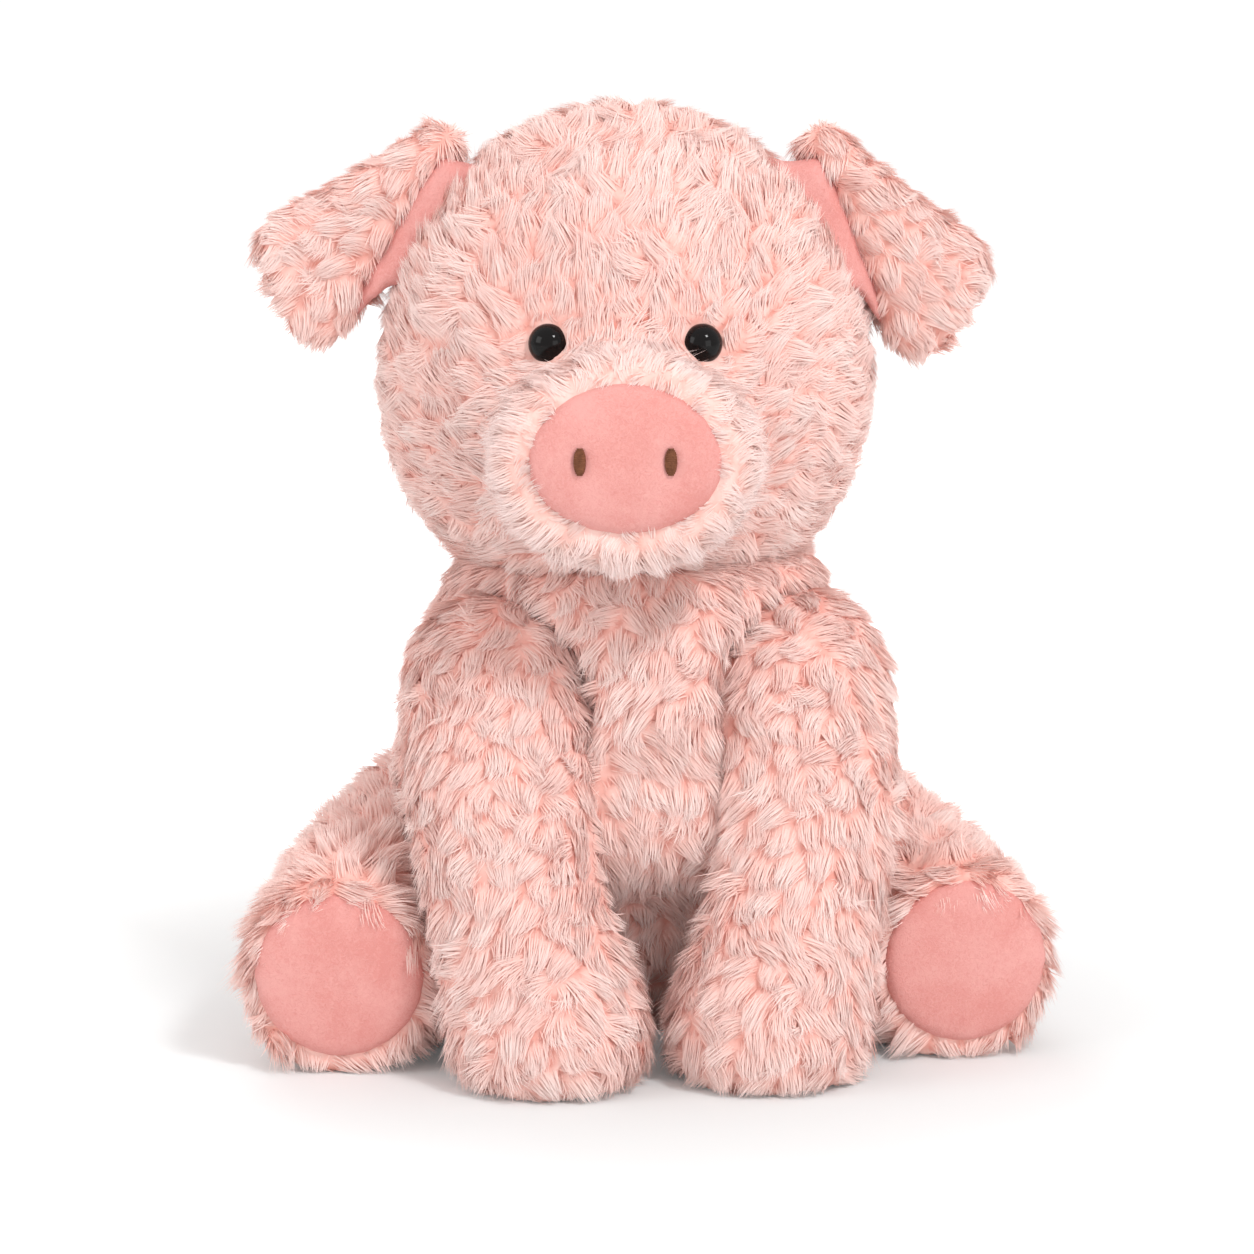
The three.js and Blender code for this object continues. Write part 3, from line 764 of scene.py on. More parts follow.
@dataclass(frozen=True)
class Pile:
    """How the pile of one plush cloth grows: dense underfur in soft tufts, with fine strands combed over it.

    Attributes:
        finish: The pile's finish.
        length: A strand's length.
        width: A strand's width at its root.
        density: Strands to the square metre.
        gap: How far apart the tufts stand.
        loft: How high the underfur stands in the middle of a tuft.
        parting: The share of that height left between two tufts.
        rise: How steeply a strand leaves the underfur.
        swirl: How far, in radians, tufts turn from the flow of the pile.
        gather: How closely a tuft's strands meet at its tip.
    """

    finish: PileFinish = PLUSH
    length: float = 6.8 * MM
    width: float = 0.45 * MM
    density: float = 2.0 / SQUARE_MM
    gap: float = 5.2 * MM
    loft: float = 2.8 * MM
    parting: float = 0.5
    rise: float = 0.27
    swirl: float = 0.85
    gather: float = 0.5

    # The underfur: where it is tucked under a pad, and how it domes and keeps clear of the next part.
    TUCK = 1.2 * MM
    DOME = 0.7
    CLEAR = 0.8
    # The tufts: how their turn, reach, rise, curl and shade differ.
    DRIFT_SCALE = 55.0
    DRIFT_TURN = 1.5
    CHANCE_TURN = 0.45
    REACH = (0.8, 1.2)
    RISE = (0.7, 1.3)
    CURL = 0.9
    SHADE = (0.4, 0.22)
    SHADES = (0.03, 0.95)
    # The strands: how they thin out under the next part, and how each differs from its tuft.
    BURIED = 0.3 * MM
    BURIED_SHARE = 0.35
    BURIED_LENGTH = 0.5
    SUNK = 0.3 * MM
    ROLL = 0.12
    LENGTH = (0.8, 1.15)
    LENGTH_AT_HEAD = 1.1
    LENGTH_LOSS = 0.45
    GATHER = (0.7, 1.2)
    WIDTH = (0.7, 1.3)
    FLATNESS = 0.38
    FRAY = 0.06
    HUE = 0.07
    HUES = (0.01, 0.97)
    # The wisps: the few strands that stand out of their tuft.
    WISPS = 0.05
    WISP_GATHER = 0.1
    WISP_FRAY = 0.2
    WISP_LIFT = 1.5
    # The pile map: V at a strand's root, what its tuft's swell adds, so that strands rooted in a parting are darker
    # as painted shade, what its own way adds, its most, and a low V on the underside that paints shade under each
    # strand.
    ROOT_V = 0.06
    SWELL_V = 0.36
    WAY_V = 0.6
    MOST_V = 0.99
    UNDER_V = 0.16
    HUE_STEP = 0.003

    def tufts(self, points: Array) -> Array:
        """Picks points that stand at least a gap apart.

        Args:
            points: The points, in random order.

        Returns:
            The numbers of the picked points.
        """
        taken: dict[tuple[int, int, int], list[int]] = {}
        picked = []
        cells = np.floor(points / self.gap).astype(int)
        near = [(i, j, k) for i in (-1, 0, 1) for j in (-1, 0, 1) for k in (-1, 0, 1)]
        for number, (x, y, z) in enumerate(cells.tolist()):
            others = [other for i, j, k in near for other in taken.get((x + i, y + j, z + k), ())]
            if others:
                away = points[others] - points[number]
                if np.min(np.sum(away * away, axis=1)) < self.gap * self.gap:
                    continue
            taken.setdefault((x, y, z), []).append(number)
            picked.append(number)
        return np.array(picked)

    def underfur(self, turf: Turf, tree: KDTree) -> tuple[Array, Array, Array]:
        """Raises the form to the top of the underfur.

        Args:
            turf: The cloth.
            tree: The places of its tufts.

        Returns:
            The raised points, how far up its tuft each is, and which way each faces.
        """
        swell = np.zeros(len(turf.places))
        for number in np.unique(turf.corners):
            (_, _, first), (_, _, second) = tree.find_n(turf.places[number], 2)
            swell[number] = min((second - first) / (self.DOME * self.gap), 1.0)
        swell = swell * (2.0 - swell)
        height = np.minimum(self.loft * turf.share, np.maximum(turf.room, 0.0) * self.CLEAR)
        height = height * (self.parting + (1.0 - self.parting) * swell) * turf.hem - self.TUCK * (1.0 - turf.hem)
        raised = turf.places + turf.normals * height[:, None]
        raised[:, 2] = np.maximum(raised[:, 2], FLOOR_LIFT)
        a, b, c = (raised[turf.corners[:, i]] for i in range(3))
        facing = np.zeros_like(raised)
        for i in range(3):
            np.add.at(facing, turf.corners[:, i], np.cross(b - a, c - a))
        return raised, swell, unit(facing)

    def grow(self, turf: Turf, rng: np.random.Generator) -> Fleece:
        """Grows the pile on a turf.

        Args:
            turf: The cloth.
            rng: The source of chance.

        Returns:
            The underfur and the strands.
        """
        order = rng.permutation(np.unique(turf.corners))
        heads = order[self.tufts(turf.places[order])]
        tree = KDTree(len(heads))
        for number, head in enumerate(heads):
            tree.insert(turf.places[head], number)
        tree.balance()
        raised, swell, facing = self.underfur(turf, tree)

        count = len(heads)
        drift = np.array([noise.noise(Vector(point) * self.DRIFT_SCALE) for point in turf.places[heads]])
        turn = self.swirl * (self.DRIFT_TURN * drift + rng.normal(0.0, self.CHANCE_TURN, count))
        flow = across(turf.flow[heads], turf.normals[heads])
        side = np.cross(turf.normals[heads], flow)
        lean = flow * np.cos(turn)[:, None] + side * np.sin(turn)[:, None]
        reach = rng.uniform(*self.REACH, count)
        rise = self.rise * rng.uniform(*self.RISE, count)
        curl = rng.normal(0.0, self.CURL, count)
        shade = np.clip(rng.normal(*self.SHADE, count), *self.SHADES)

        a, b, c = (raised[turf.corners[:, i]] for i in range(3))
        areas = np.linalg.norm(np.cross(b - a, c - a), axis=1)
        total = int(areas.sum() / 2 * self.density)
        chosen = turf.corners[rng.choice(len(areas), total, p=areas / areas.sum())]
        weights = rng.dirichlet((1.0, 1.0, 1.0), total)
        buried = np.sum(turf.room[chosen] * weights, axis=1) < self.BURIED
        roots = np.einsum("ij,ijk->ik", weights, raised[chosen])
        open_to_view = (~buried | (rng.random(total) < self.BURIED_SHARE)) & ~turf.near(roots)
        chosen, weights, buried, roots = (part[open_to_view] for part in (chosen, weights, buried, roots))
        normals = unit(np.einsum("ij,ijk->ik", weights, facing[chosen] + turf.normals[chosen]))
        share = np.sum(turf.share[chosen] * weights, axis=1) * np.where(buried, self.BURIED_LENGTH, 1.0)
        height = np.sum(swell[chosen] * weights, axis=1)
        total = len(roots)

        tuft = np.array([tree.find(point)[1] for point in roots])
        from_head = across_part(roots - raised[heads][tuft], normals)
        spread = np.linalg.norm(from_head, axis=1) / self.gap
        ahead = across(lean[tuft], normals)
        beside = np.cross(normals, ahead)
        sweep = (curl[tuft] * np.sum(from_head * ahead, axis=1) / self.gap)[:, None]
        ahead = ahead * np.cos(sweep) + beside * np.sin(sweep)
        wisp = rng.random(total) < self.WISPS
        length = self.length * share * reach[tuft]
        length = length * (self.LENGTH_AT_HEAD - self.LENGTH_LOSS * np.minimum(spread, 1.0))
        length *= rng.uniform(*self.LENGTH, total)
        meet = np.where(wisp, self.WISP_GATHER, self.gather) * rng.uniform(*self.GATHER, total)
        gather = from_head * meet[:, None]
        fray = unit(rng.normal(size=(total, 3))) * (length * np.where(wisp, self.WISP_FRAY, self.FRAY))[:, None]
        lift = length * rise[tuft] * np.where(wisp, self.WISP_LIFT, 1.0)
        tips = ahead * length[:, None] + normals * lift[:, None] - gather + fray
        roots = roots + normals * rng.uniform(-self.SUNK, self.SUNK, total)[:, None]
        along = unit(tips)
        up = across(normals + rng.normal(0.0, self.ROLL, (total, 3)), along)
        beside = np.cross(along, up)
        broad = self.width / 2 * rng.uniform(*self.WIDTH, total)
        points = np.empty((total, len(STRAND.way), 3))
        spots = np.empty((total, len(STRAND.way), 2))
        hue = np.clip(shade[tuft] + rng.normal(0.0, self.HUE, total), *self.HUES)
        for number, way in enumerate(STRAND.way):
            x, y = STRAND.section[number] * (1.0, self.FLATNESS)
            # V falls towards the partings, painted shade where the tufts meet.
            above = np.minimum(self.ROOT_V + self.SWELL_V * height + self.WAY_V * way, self.MOST_V)
            points[:, number] = roots + tips * way + (beside * x + up * y) * broad[:, None]
            spots[:, number, 0] = hue + number * self.HUE_STEP
            # The underside of each strand takes a low V, painted shade under the strand.
            spots[:, number, 1] = above if y >= 0.0 else self.UNDER_V
        return Fleece(raised, swell, STRAND.repeat(turf.comb(points), spots))


COAT = Pile()
MUZZLE_COAT = Pile(
    MUZZLE_PLUSH, length=7.0 * MM, width=0.4 * MM, density=2.8 / SQUARE_MM, gap=4.2 * MM, loft=2.2 * MM, parting=0.7,
    rise=0.32, swirl=0.25, gather=0.3,
)
SEAT_COAT = Pile(length=4.0 * MM, density=0.5 / SQUARE_MM, loft=0.6 * MM)
HIND_COAT = Pile(length=6.0 * MM, rise=0.55)
EAR_COAT = Pile(length=5.5 * MM, density=2.3 / SQUARE_MM, gap=4.8 * MM, loft=1.8 * MM)


@dataclass
class StuffedPart:
    """A stuffed sub-assembly: plush panels and velour pads over fibre fill, all on one moving body.

    Attributes:
        body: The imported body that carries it.
        panels: Its plush panels, by node, each with its pile.
        pads: Its velour pads, by node.
        fills: The nodes inside the cloth.
        voxel: The remesh size of its form.
        passes: How often its form is smoothed.
        seed: The seed of its pile.
        bare: Rounds that the pile keeps out of, each a middle, an axis and a radius.
    """

    body: str
    panels: dict[str, Pile]
    pads: tuple[str, ...] = ()
    fills: tuple[str, ...] = ()
    voxel: float = 3.0 * MM
    passes: int = 6
    seed: int = 1
    bare: list[tuple[Array, Array, float]] = field(default_factory=list)

    BACKING = 1.0 * MM
    HEM = 4.0 * MM
    FINE = 2.0 * MM
    FINE_PASSES = 3
    PAD_VOXEL = 1.2 * MM
    PAD_PASSES = 6
    FILL_VOXEL = 5.0 * MM
    FILL_PASSES = 4
    SIGHT = 9.0 * MM
    # How tightly plush, velour and fibre are filled.
    PLUSH_FILL = 0.8
    PAD_FILL = 0.7
    FIBRE_FILL = 0.9
    # The underfur's place on the pile map: its U, V inside the cloth, a low V at a parting that paints shade there,
    # and what a tuft's swell adds to lift it out of that painted shade.
    FUR_U = 0.5
    CLOTH_V = 0.02
    PARTING_V = 0.04
    SWELL_V = 0.3

    def shape(self) -> None:
        """Makes the rounded form that the cloth follows."""
        self.form = soft_copy(f"{self.body}_form", (*self.panels, *self.pads, *self.fills), self.voxel, self.passes)
        self.mould(self.form)
        Stuffing().press(self.form)
        self.refine()

    def yields_to(self, other: "StuffedPart") -> bool:
        """Whether the pile lies down beside another part."""
        return other is not self

    def sculpt(self, points: Array) -> Array:
        """Where points of the part go as it is sculpted. Each part has its own way, or none."""
        return points

    def mould(self, piece: Object) -> None:
        """Sculpts a piece of the part."""
        piece.data.vertices.foreach_set("co", self.sculpt(points_of(piece.data)).ravel())
        piece.data.update()

    def pad(self, node: str) -> Object:
        """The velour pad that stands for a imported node, softened."""
        return soft_copy(f"{node}_velour", (node,), self.PAD_VOXEL, self.PAD_PASSES)

    def refine(self) -> None:
        """Remeshes the form finely enough for its tufts and keeps a search tree over it."""
        soften(self.form, self.FINE, self.FINE_PASSES)
        self.tree = tree_of(self.form.data)

    def flow(self, points: Array, normals: Array) -> Array:
        """Which way the pile lies at each root. Each part has its own way."""
        return np.tile(-UP, (len(points), 1))

    def share(self, points: Array) -> Array:
        """How much of its full length the pile has at each root."""
        return np.ones(len(points))

    def gaps(self, nodes: tuple[str, ...], points: Array) -> Array:
        """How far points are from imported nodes, as a row of distances for each node."""
        trees = [tree_of(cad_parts[node].data) for node in nodes]
        return np.array([[tree.find_nearest(point)[3] for point in points] for tree in trees])

    def backing(self, faces: Array, fleece: Fleece) -> Patch:
        """One panel's cloth and underfur.

        Args:
            faces: True for each face of the form that belongs to the panel.
            fleece: What grows on it.

        Returns:
            The cloth, closed, from its inner side to the top of the underfur.
        """
        bm = bmesh.new()
        bm.from_mesh(self.form.data)
        place = bm.verts.layers.int.new("place")
        for point in bm.verts:
            point[place] = point.index
        bm.faces.ensure_lookup_table()
        others = [face for face, mine in zip(bm.faces, faces) if not mine]
        bmesh.ops.delete(bm, geom=others, context="FACES")
        inner = bm.verts[:]
        for point in inner:
            point.co -= point.normal * self.BACKING
        outer = bmesh.ops.extrude_face_region(bm, geom=bm.faces[:], use_keep_orig=True)["geom"]
        spots = {}
        for point in outer:
            if isinstance(point, bmesh.types.BMVert):
                point.co = fleece.raised[point[place]]
                # The underfur is coloured darker at the partings, painted shade between the tufts.
                spots[point] = (self.FUR_U, self.PARTING_V + self.SWELL_V * fleece.swell[point[place]])
        bmesh.ops.recalc_face_normals(bm, faces=bm.faces[:])
        corners, starts = corners_of(bm)
        patch = Patch(
            np.array([point.co for point in bm.verts]), corners, starts,
            np.array([spots.get(point, (self.FUR_U, self.CLOTH_V)) for point in bm.verts]),
            np.ones(len(starts), dtype=bool),
        )
        bm.free()
        return patch

    def turf(self, faces: Array, room: Array, hem: Array) -> Turf:
        """Gathers what a panel's pile grows by.

        Args:
            faces: True for each face of the form that belongs to the panel.
            room: How far each point of the form is from the next part.
            hem: How far clear of the pads each point is, from nought to one.

        Returns:
            The panel's turf.
        """
        mesh = self.form.data
        mesh.calc_loop_triangles()
        corners = np.empty(len(mesh.loop_triangles) * 3, dtype=int)
        mesh.loop_triangles.foreach_get("vertices", corners)
        owners = np.empty(len(mesh.loop_triangles), dtype=int)
        mesh.loop_triangles.foreach_get("polygon_index", owners)
        corners = corners.reshape(-1, 3)[faces[owners]]
        places = points_of(mesh)
        normals = np.empty(len(mesh.vertices) * 3)
        mesh.vertex_normals.foreach_get("vector", normals)
        normals = normals.reshape(-1, 3)
        return Turf(places, normals, corners, self.flow(places, normals), self.share(places), room, hem, self.bare)

    def room(self, neighbours: list[BVHTree]) -> Array:
        """How far each point of the form is from the other parts.

        Args:
            neighbours: The forms of the other parts.

        Returns:
            A distance for each point, less than nought inside another part.
        """
        gaps = []
        for point in points_of(self.form.data):
            gap = self.SIGHT
            for tree in neighbours:
                spot, normal, _, away = tree.find_nearest(point, self.SIGHT)
                if spot is not None:
                    gap = min(gap, math.copysign(away, normal.dot(Vector(point) - spot)))
            gaps.append(gap)
        return np.array(gaps)

    def dress(self, neighbours: list[BVHTree]) -> list[Object]:
        """Makes the part's visible pieces.

        Args:
            neighbours: The forms of the other parts.

        Returns:
            The pieces.
        """
        made = []
        away = self.gaps((*self.panels, *self.pads), np.array([face.center for face in self.form.data.polygons]))
        owner = np.argmin(away, axis=0)
        room = self.room(neighbours)
        hem = np.ones(len(room))
        if self.pads:
            hem = np.clip(self.gaps(self.pads, points_of(self.form.data)).min(axis=0) / (self.HEM / 2), 0.0, 1.0)
        rng = np.random.default_rng(self.seed)
        for number, (node, pile) in enumerate(self.panels.items()):
            own = owner == number
            fleece = pile.grow(self.turf(own, room, hem), rng)
            tucked = (owner >= len(self.panels)) & (away[number] < self.HEM)
            mesh = self.backing(own | tucked, fleece).with_patch(fleece.coat).mesh(f"{node}_pile")
            made.append(self.settle(add_object(f"{node}_plush", mesh), pile.finish, node))
        for node in self.pads:
            made.append(self.settle(self.pad(node), VELOUR, node))
        for node in self.fills:
            fill = soft_copy(f"{node}_fibre", (node,), self.FILL_VOXEL, self.FILL_PASSES)
            self.mould(fill)
            cover = CANVAS if node == "pellet_bag" else FIBRE
            made.append(self.settle(fill, cover, node))
        bpy.data.objects.remove(self.form)
        return made

    def settle(self, piece: Object, finish: Finish, node: str) -> Object:
        """Finishes a stuffed piece and puts it in its node's place.

        Args:
            piece: The piece.
            finish: Its finish.
            node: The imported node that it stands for.

        Returns:
            The piece.
        """
        finish.put_on(piece)
        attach(piece, self.body)
        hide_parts(node)
        return piece


@dataclass
class Torso(StuffedPart):
    """The seated body: one front panel, two back panels, the seat, the fill and the pellet bag.

    Attributes:
        chest: How far the chest fills out between the shoulders.
        belly: How far the belly sinks back between the paws.
        breadth: Half the width of the chest.
        lap: Half the width of the belly between the paws.
    """

    chest: float = 7.5 * MM
    belly: float = 24.0 * MM
    breadth: float = 36.0 * MM
    lap: float = 26.0 * MM

    # Heights that a change begins and ends at, and the same for how far forward it begins.
    RIBS = (76.0 * MM, 98.0 * MM)
    THROAT = (108.0 * MM, 126.0 * MM)
    LAP_TOP = (34.0 * MM, 66.0 * MM)
    FRONT = (10.0 * MM, 34.0 * MM)
    THROAT_LOSS = 0.6
    OUTWARDS = 8.0

    def sculpt(self, points: Array) -> Array:
        """The chest fills out between the front legs, and the belly sinks back below it.

        Args:
            points: The points.

        Returns:
            Where they go.
        """
        x, y, z = points.T
        out = np.exp(-(x / self.breadth) ** 4) * ease(z, *self.RIBS)
        out *= 1.0 - self.THROAT_LOSS * ease(z, *self.THROAT)
        back = np.exp(-(x / self.lap) ** 2) * (1.0 - ease(z, *self.LAP_TOP))
        ahead = ease(-y, *self.FRONT)
        return np.stack((x, y + ahead * (self.belly * back - self.chest * out), z), axis=1)

    def flow(self, points: Array, normals: Array) -> Array:
        """The pile lies downwards and a little away from the middle."""
        return np.outer(points[:, 0] * self.OUTWARDS, (1.0, 0.0, 0.0)) - UP


@dataclass
class FrontLeg(StuffedPart):
    """A front leg, whose pile spreads from the top of its paw.

    Attributes:
        set_back: How far its top is set back into the shoulder.
    """

    set_back: float = 12.0 * MM

    SHOULDER = (66.0 * MM, 112.0 * MM)
    PAW_TOP = 44.0 * MM
    PAW_BLEND = 16.0 * MM

    def sculpt(self, points: Array) -> Array:
        """The leg's top is set back into the shoulder."""
        return points + np.outer(ease(points[:, 2], *self.SHOULDER), (0.0, self.set_back, 0.0))

    def flow(self, points: Array, normals: Array) -> Array:
        """The pile lies down the leg and spreads over the paw.

        Args:
            points: The roots.
            normals: Which way the cloth faces there; not used.

        Returns:
            A direction for each root.
        """
        crown = middle_of(self.pads[0])
        crown[2] = self.PAW_TOP
        spread = unit(points - crown)
        under = self.PAW_TOP + self.PAW_BLEND / 2 - points[:, 2]
        paw = np.clip(under / self.PAW_BLEND, 0.0, 1.0)[:, None]
        return spread * paw - UP * (1.0 - paw)


@dataclass
class HindLeg(StuffedPart):
    """A hind leg, whose pile stands up off its sides and overhangs the sole.

    Attributes:
        spread: How far the sole spreads over the leg's hem, as a share of its size.
    """

    spread: float = 0.08

    FRINGE = (3.0 * MM, 9.0 * MM)
    SIDEWAYS = 0.6
    AHEAD = 0.2
    BACK = 1.2

    def pad(self, node: str) -> Object:
        """The sole, spread up and sideways over the hem.

        Args:
            node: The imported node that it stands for.

        Returns:
            The sole.
        """
        sole = super().pad(node)
        foot = Vector(middle_of(node))
        foot.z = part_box(node)[0][2]
        grow = Matrix.Scale(1.0 + self.spread, 4)
        sole.data.transform(Matrix.Translation(foot) @ grow @ Matrix.Translation(-foot))
        return sole

    def flow(self, points: Array, normals: Array) -> Array:
        """The pile lies outwards, down the leg's sides and back from the sole, which it fringes.

        Args:
            points: The roots.
            normals: Which way the cloth faces there; not used.

        Returns:
            A direction for each root.
        """
        sole, middle = middle_of(self.pads[0]), middle_of(self.fills[0])
        ahead = unit((sole - middle) * (1.0, 1.0, 0.0))
        aside = points - middle
        aside = unit(aside - ahead * (aside @ ahead)[:, None])
        behind = ease((sole - points) @ ahead, *self.FRINGE)
        return aside * (1.0, 1.0, 0.0) * self.SIDEWAYS - UP + np.outer(self.AHEAD - self.BACK * behind, ahead)


@dataclass
class Head(StuffedPart):
    """The head: two panels, the muzzle, the snout and the fill. Its pile spreads from the snout."""

    EYES = ("eye_left", "eye_right")
    CLEAR = 5.4 * MM
    FUZZ = 1.4 * MM
    FUZZ_WIDTHS = 2.5
    # How far back the pile turns to fall, how far and how strongly it parts round an eye, and how short it is there.
    BACK = 40.0 * MM
    PARTING = 9.0 * MM
    PARTING_SHARE = 2.0
    SHORT = 13.0 * MM
    SHORTEST = 0.5

    def shape(self) -> None:
        """Makes the head's form and marks where the eyes are."""
        super().shape()
        self.eyes = [Eye(node) for node in self.EYES]
        self.bare = [(eye.tip, eye.axis, self.CLEAR) for eye in self.eyes]

    def flow(self, points: Array, normals: Array) -> Array:
        """The pile spreads from a fuzz at the snout's edge over the face, falls at the back and parts round the eyes.

        Args:
            points: The roots.
            normals: Which way the cloth faces there; not used.

        Returns:
            A direction for each root.
        """
        snout = middle_of("snout_pad")
        centre = middle_of("head_stuffing")
        ahead = unit((snout - centre) * (1.0, 1.0, 0.0))
        out = points - snout
        out = out - ahead * (out @ ahead)[:, None]
        back = np.clip(((centre - points) @ ahead) / self.BACK, 0.0, 1.0)[:, None]
        lie = unit(out) * (1.0 - back) - UP * back
        for eye in self.eyes:
            away = points - eye.tip
            near = np.exp(-np.sum(away * away, axis=1) / self.PARTING ** 2)[:, None]
            lie = lie + self.PARTING_SHARE * near * unit(away)
        edge = self.gaps(("snout_pad",), points)[0]
        return np.where((edge < self.FUZZ)[:, None], -lie, lie)

    def yields_to(self, other: StuffedPart) -> bool:
        """The head's pile stands up round the roots of the ears."""
        return super().yields_to(other) and not isinstance(other, Ear)

    def share(self, points: Array) -> Array:
        """The pile is cut short round the eyes and the snout.

        Args:
            points: The roots.

        Returns:
            A share of the full length for each root.
        """
        near = np.array([np.linalg.norm(points - eye.tip, axis=1) for eye in self.eyes]).min(axis=0)
        edge = self.gaps(("snout_pad",), points)[0]
        by_eyes = np.clip(near / self.SHORT, self.SHORTEST, 1.0)
        return by_eyes * np.clip(edge / (self.FUZZ_WIDTHS * self.FUZZ), self.SHORTEST, 1.0)


@dataclass
class Ear(StuffedPart):
    """A folded ear, whose pile lies from its root to its tip."""

    LIP = 7.0 * MM
    LIP_PASSES = 8
    LIP_FACING = -0.2
    REACH = 7.0 * MM
    ROOT = 12.0 * MM
    DROOP = 0.6

    def flow(self, points: Array, normals: Array) -> Array:
        """The pile lies outwards and down.

        Args:
            points: The roots.
            normals: Which way the cloth faces there; not used.

        Returns:
            A direction for each root.
        """
        ahead = middle_of(next(iter(self.panels))) - middle_of("head_stuffing")
        ahead[2] = -self.DROOP * abs(ahead[0])
        return np.tile(unit(ahead), (len(points), 1))

    def shape(self) -> None:
        """Makes the form of the plush alone, so that the fold stays open, and lets the lining be."""
        self.form = soft_copy(f"{self.body}_form", tuple(self.panels), self.voxel, self.passes)
        self.refine()

    def pad(self, node: str) -> Object:
        """The lining, which swells out of the fold as a lip and reaches into the head at its root.

        Args:
            node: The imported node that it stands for.

        Returns:
            The lining.
        """
        lining = super().pad(node)
        flap = tree_of(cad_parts[next(iter(self.panels))].data)
        bm = bmesh.new()
        bm.from_mesh(lining.data)
        ahead = Vector((0.0, -1.0, 0.0))
        root = min(abs(point.co.x) for point in bm.verts)
        for point in bm.verts:
            covered = flap.ray_cast(point.co + ahead * MM, ahead, self.LIP * 2)[0] is not None
            if point.normal.y < self.LIP_FACING and not covered:
                point.co += ahead * self.LIP
            reach = self.REACH * (1.0 - float(ease(np.array(abs(point.co.x) - root), 0.0, self.ROOT)))
            point.co.x -= math.copysign(reach, point.co.x)
        smooth_points(bm, self.LIP_PASSES)
        lining.data = mesh_from(lining.name, bm)
        return lining


@dataclass
class Eye:
    """A safety eye: a gloss dome on a shank.

    Attributes:
        node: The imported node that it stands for.
    """

    node: str

    RADIUS = 5.0 * MM
    DOME = 4.6 * MM
    EDGE = 0.8 * MM
    SHANK = 2.1 * MM
    LENGTH = 13.0 * MM
    ROUND_STEPS = 10
    TURN_STEPS = 40
    # The pile map: what part of its width the turn takes, and how much of the eye's length V covers.
    MAP_TURN = 2.2 * math.pi
    MAP_RISE = 3.0

    def __post_init__(self) -> None:
        """Reads the eye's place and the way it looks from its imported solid."""
        points = np.unique(points_of(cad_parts[self.node].data).round(6), axis=0)
        middle = points.mean(axis=0)
        axis = np.linalg.svd(points - middle)[2][0]
        self.axis = axis if axis[1] < 0.0 else -axis
        self.tip = middle + self.axis * np.max((points - middle) @ self.axis)

    def build(self) -> Object:
        """Turns the eye's profile round its shank.

        Returns:
            The eye.
        """
        turns = [i / self.ROUND_STEPS * math.pi / 2 for i in range(self.ROUND_STEPS + 1)]
        profile = [(self.RADIUS * math.sin(turn), self.DOME * (math.cos(turn) - 1.0)) for turn in turns]
        rim = -self.DOME - self.EDGE
        profile += [(self.RADIUS, rim), (self.SHANK, rim), (self.SHANK, rim - self.LENGTH), (0.0, rim - self.LENGTH)]
        bm = bmesh.new()
        points = [bm.verts.new((x, 0.0, z)) for x, z in profile]
        edges = [bm.edges.new(pair) for pair in zip(points, points[1:])]
        bmesh.ops.spin(
            bm, geom=points + edges, axis=(0.0, 0.0, 1.0), cent=(0.0, 0.0, 0.0), angle=2.0 * math.pi,
            steps=self.TURN_STEPS, use_merge=True,
        )
        bmesh.ops.remove_doubles(bm, verts=bm.verts[:], dist=WELD)
        bmesh.ops.recalc_face_normals(bm, faces=bm.faces[:])
        layer = bm.loops.layers.uv.new(BAKE_MAP)
        for face in bm.faces:
            for corner in face.loops:
                x, y, z = corner.vert.co
                way = min(1.0, z / (rim - self.LENGTH) * self.MAP_RISE)
                corner[layer].uv = (0.5 + math.atan2(y, x) / self.MAP_TURN, way)
        turn = Vector((0.0, 0.0, 1.0)).rotation_difference(Vector(self.axis)).to_matrix().to_4x4()
        bmesh.ops.transform(bm, matrix=Matrix.Translation(self.tip) @ turn, verts=bm.verts[:])
        piece = add_object(f"{self.node}_dome", mesh_from(self.node, bm))
        EYE_GLOSS.put_on(piece)
        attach(piece, "head")
        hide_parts(self.node)
        return piece


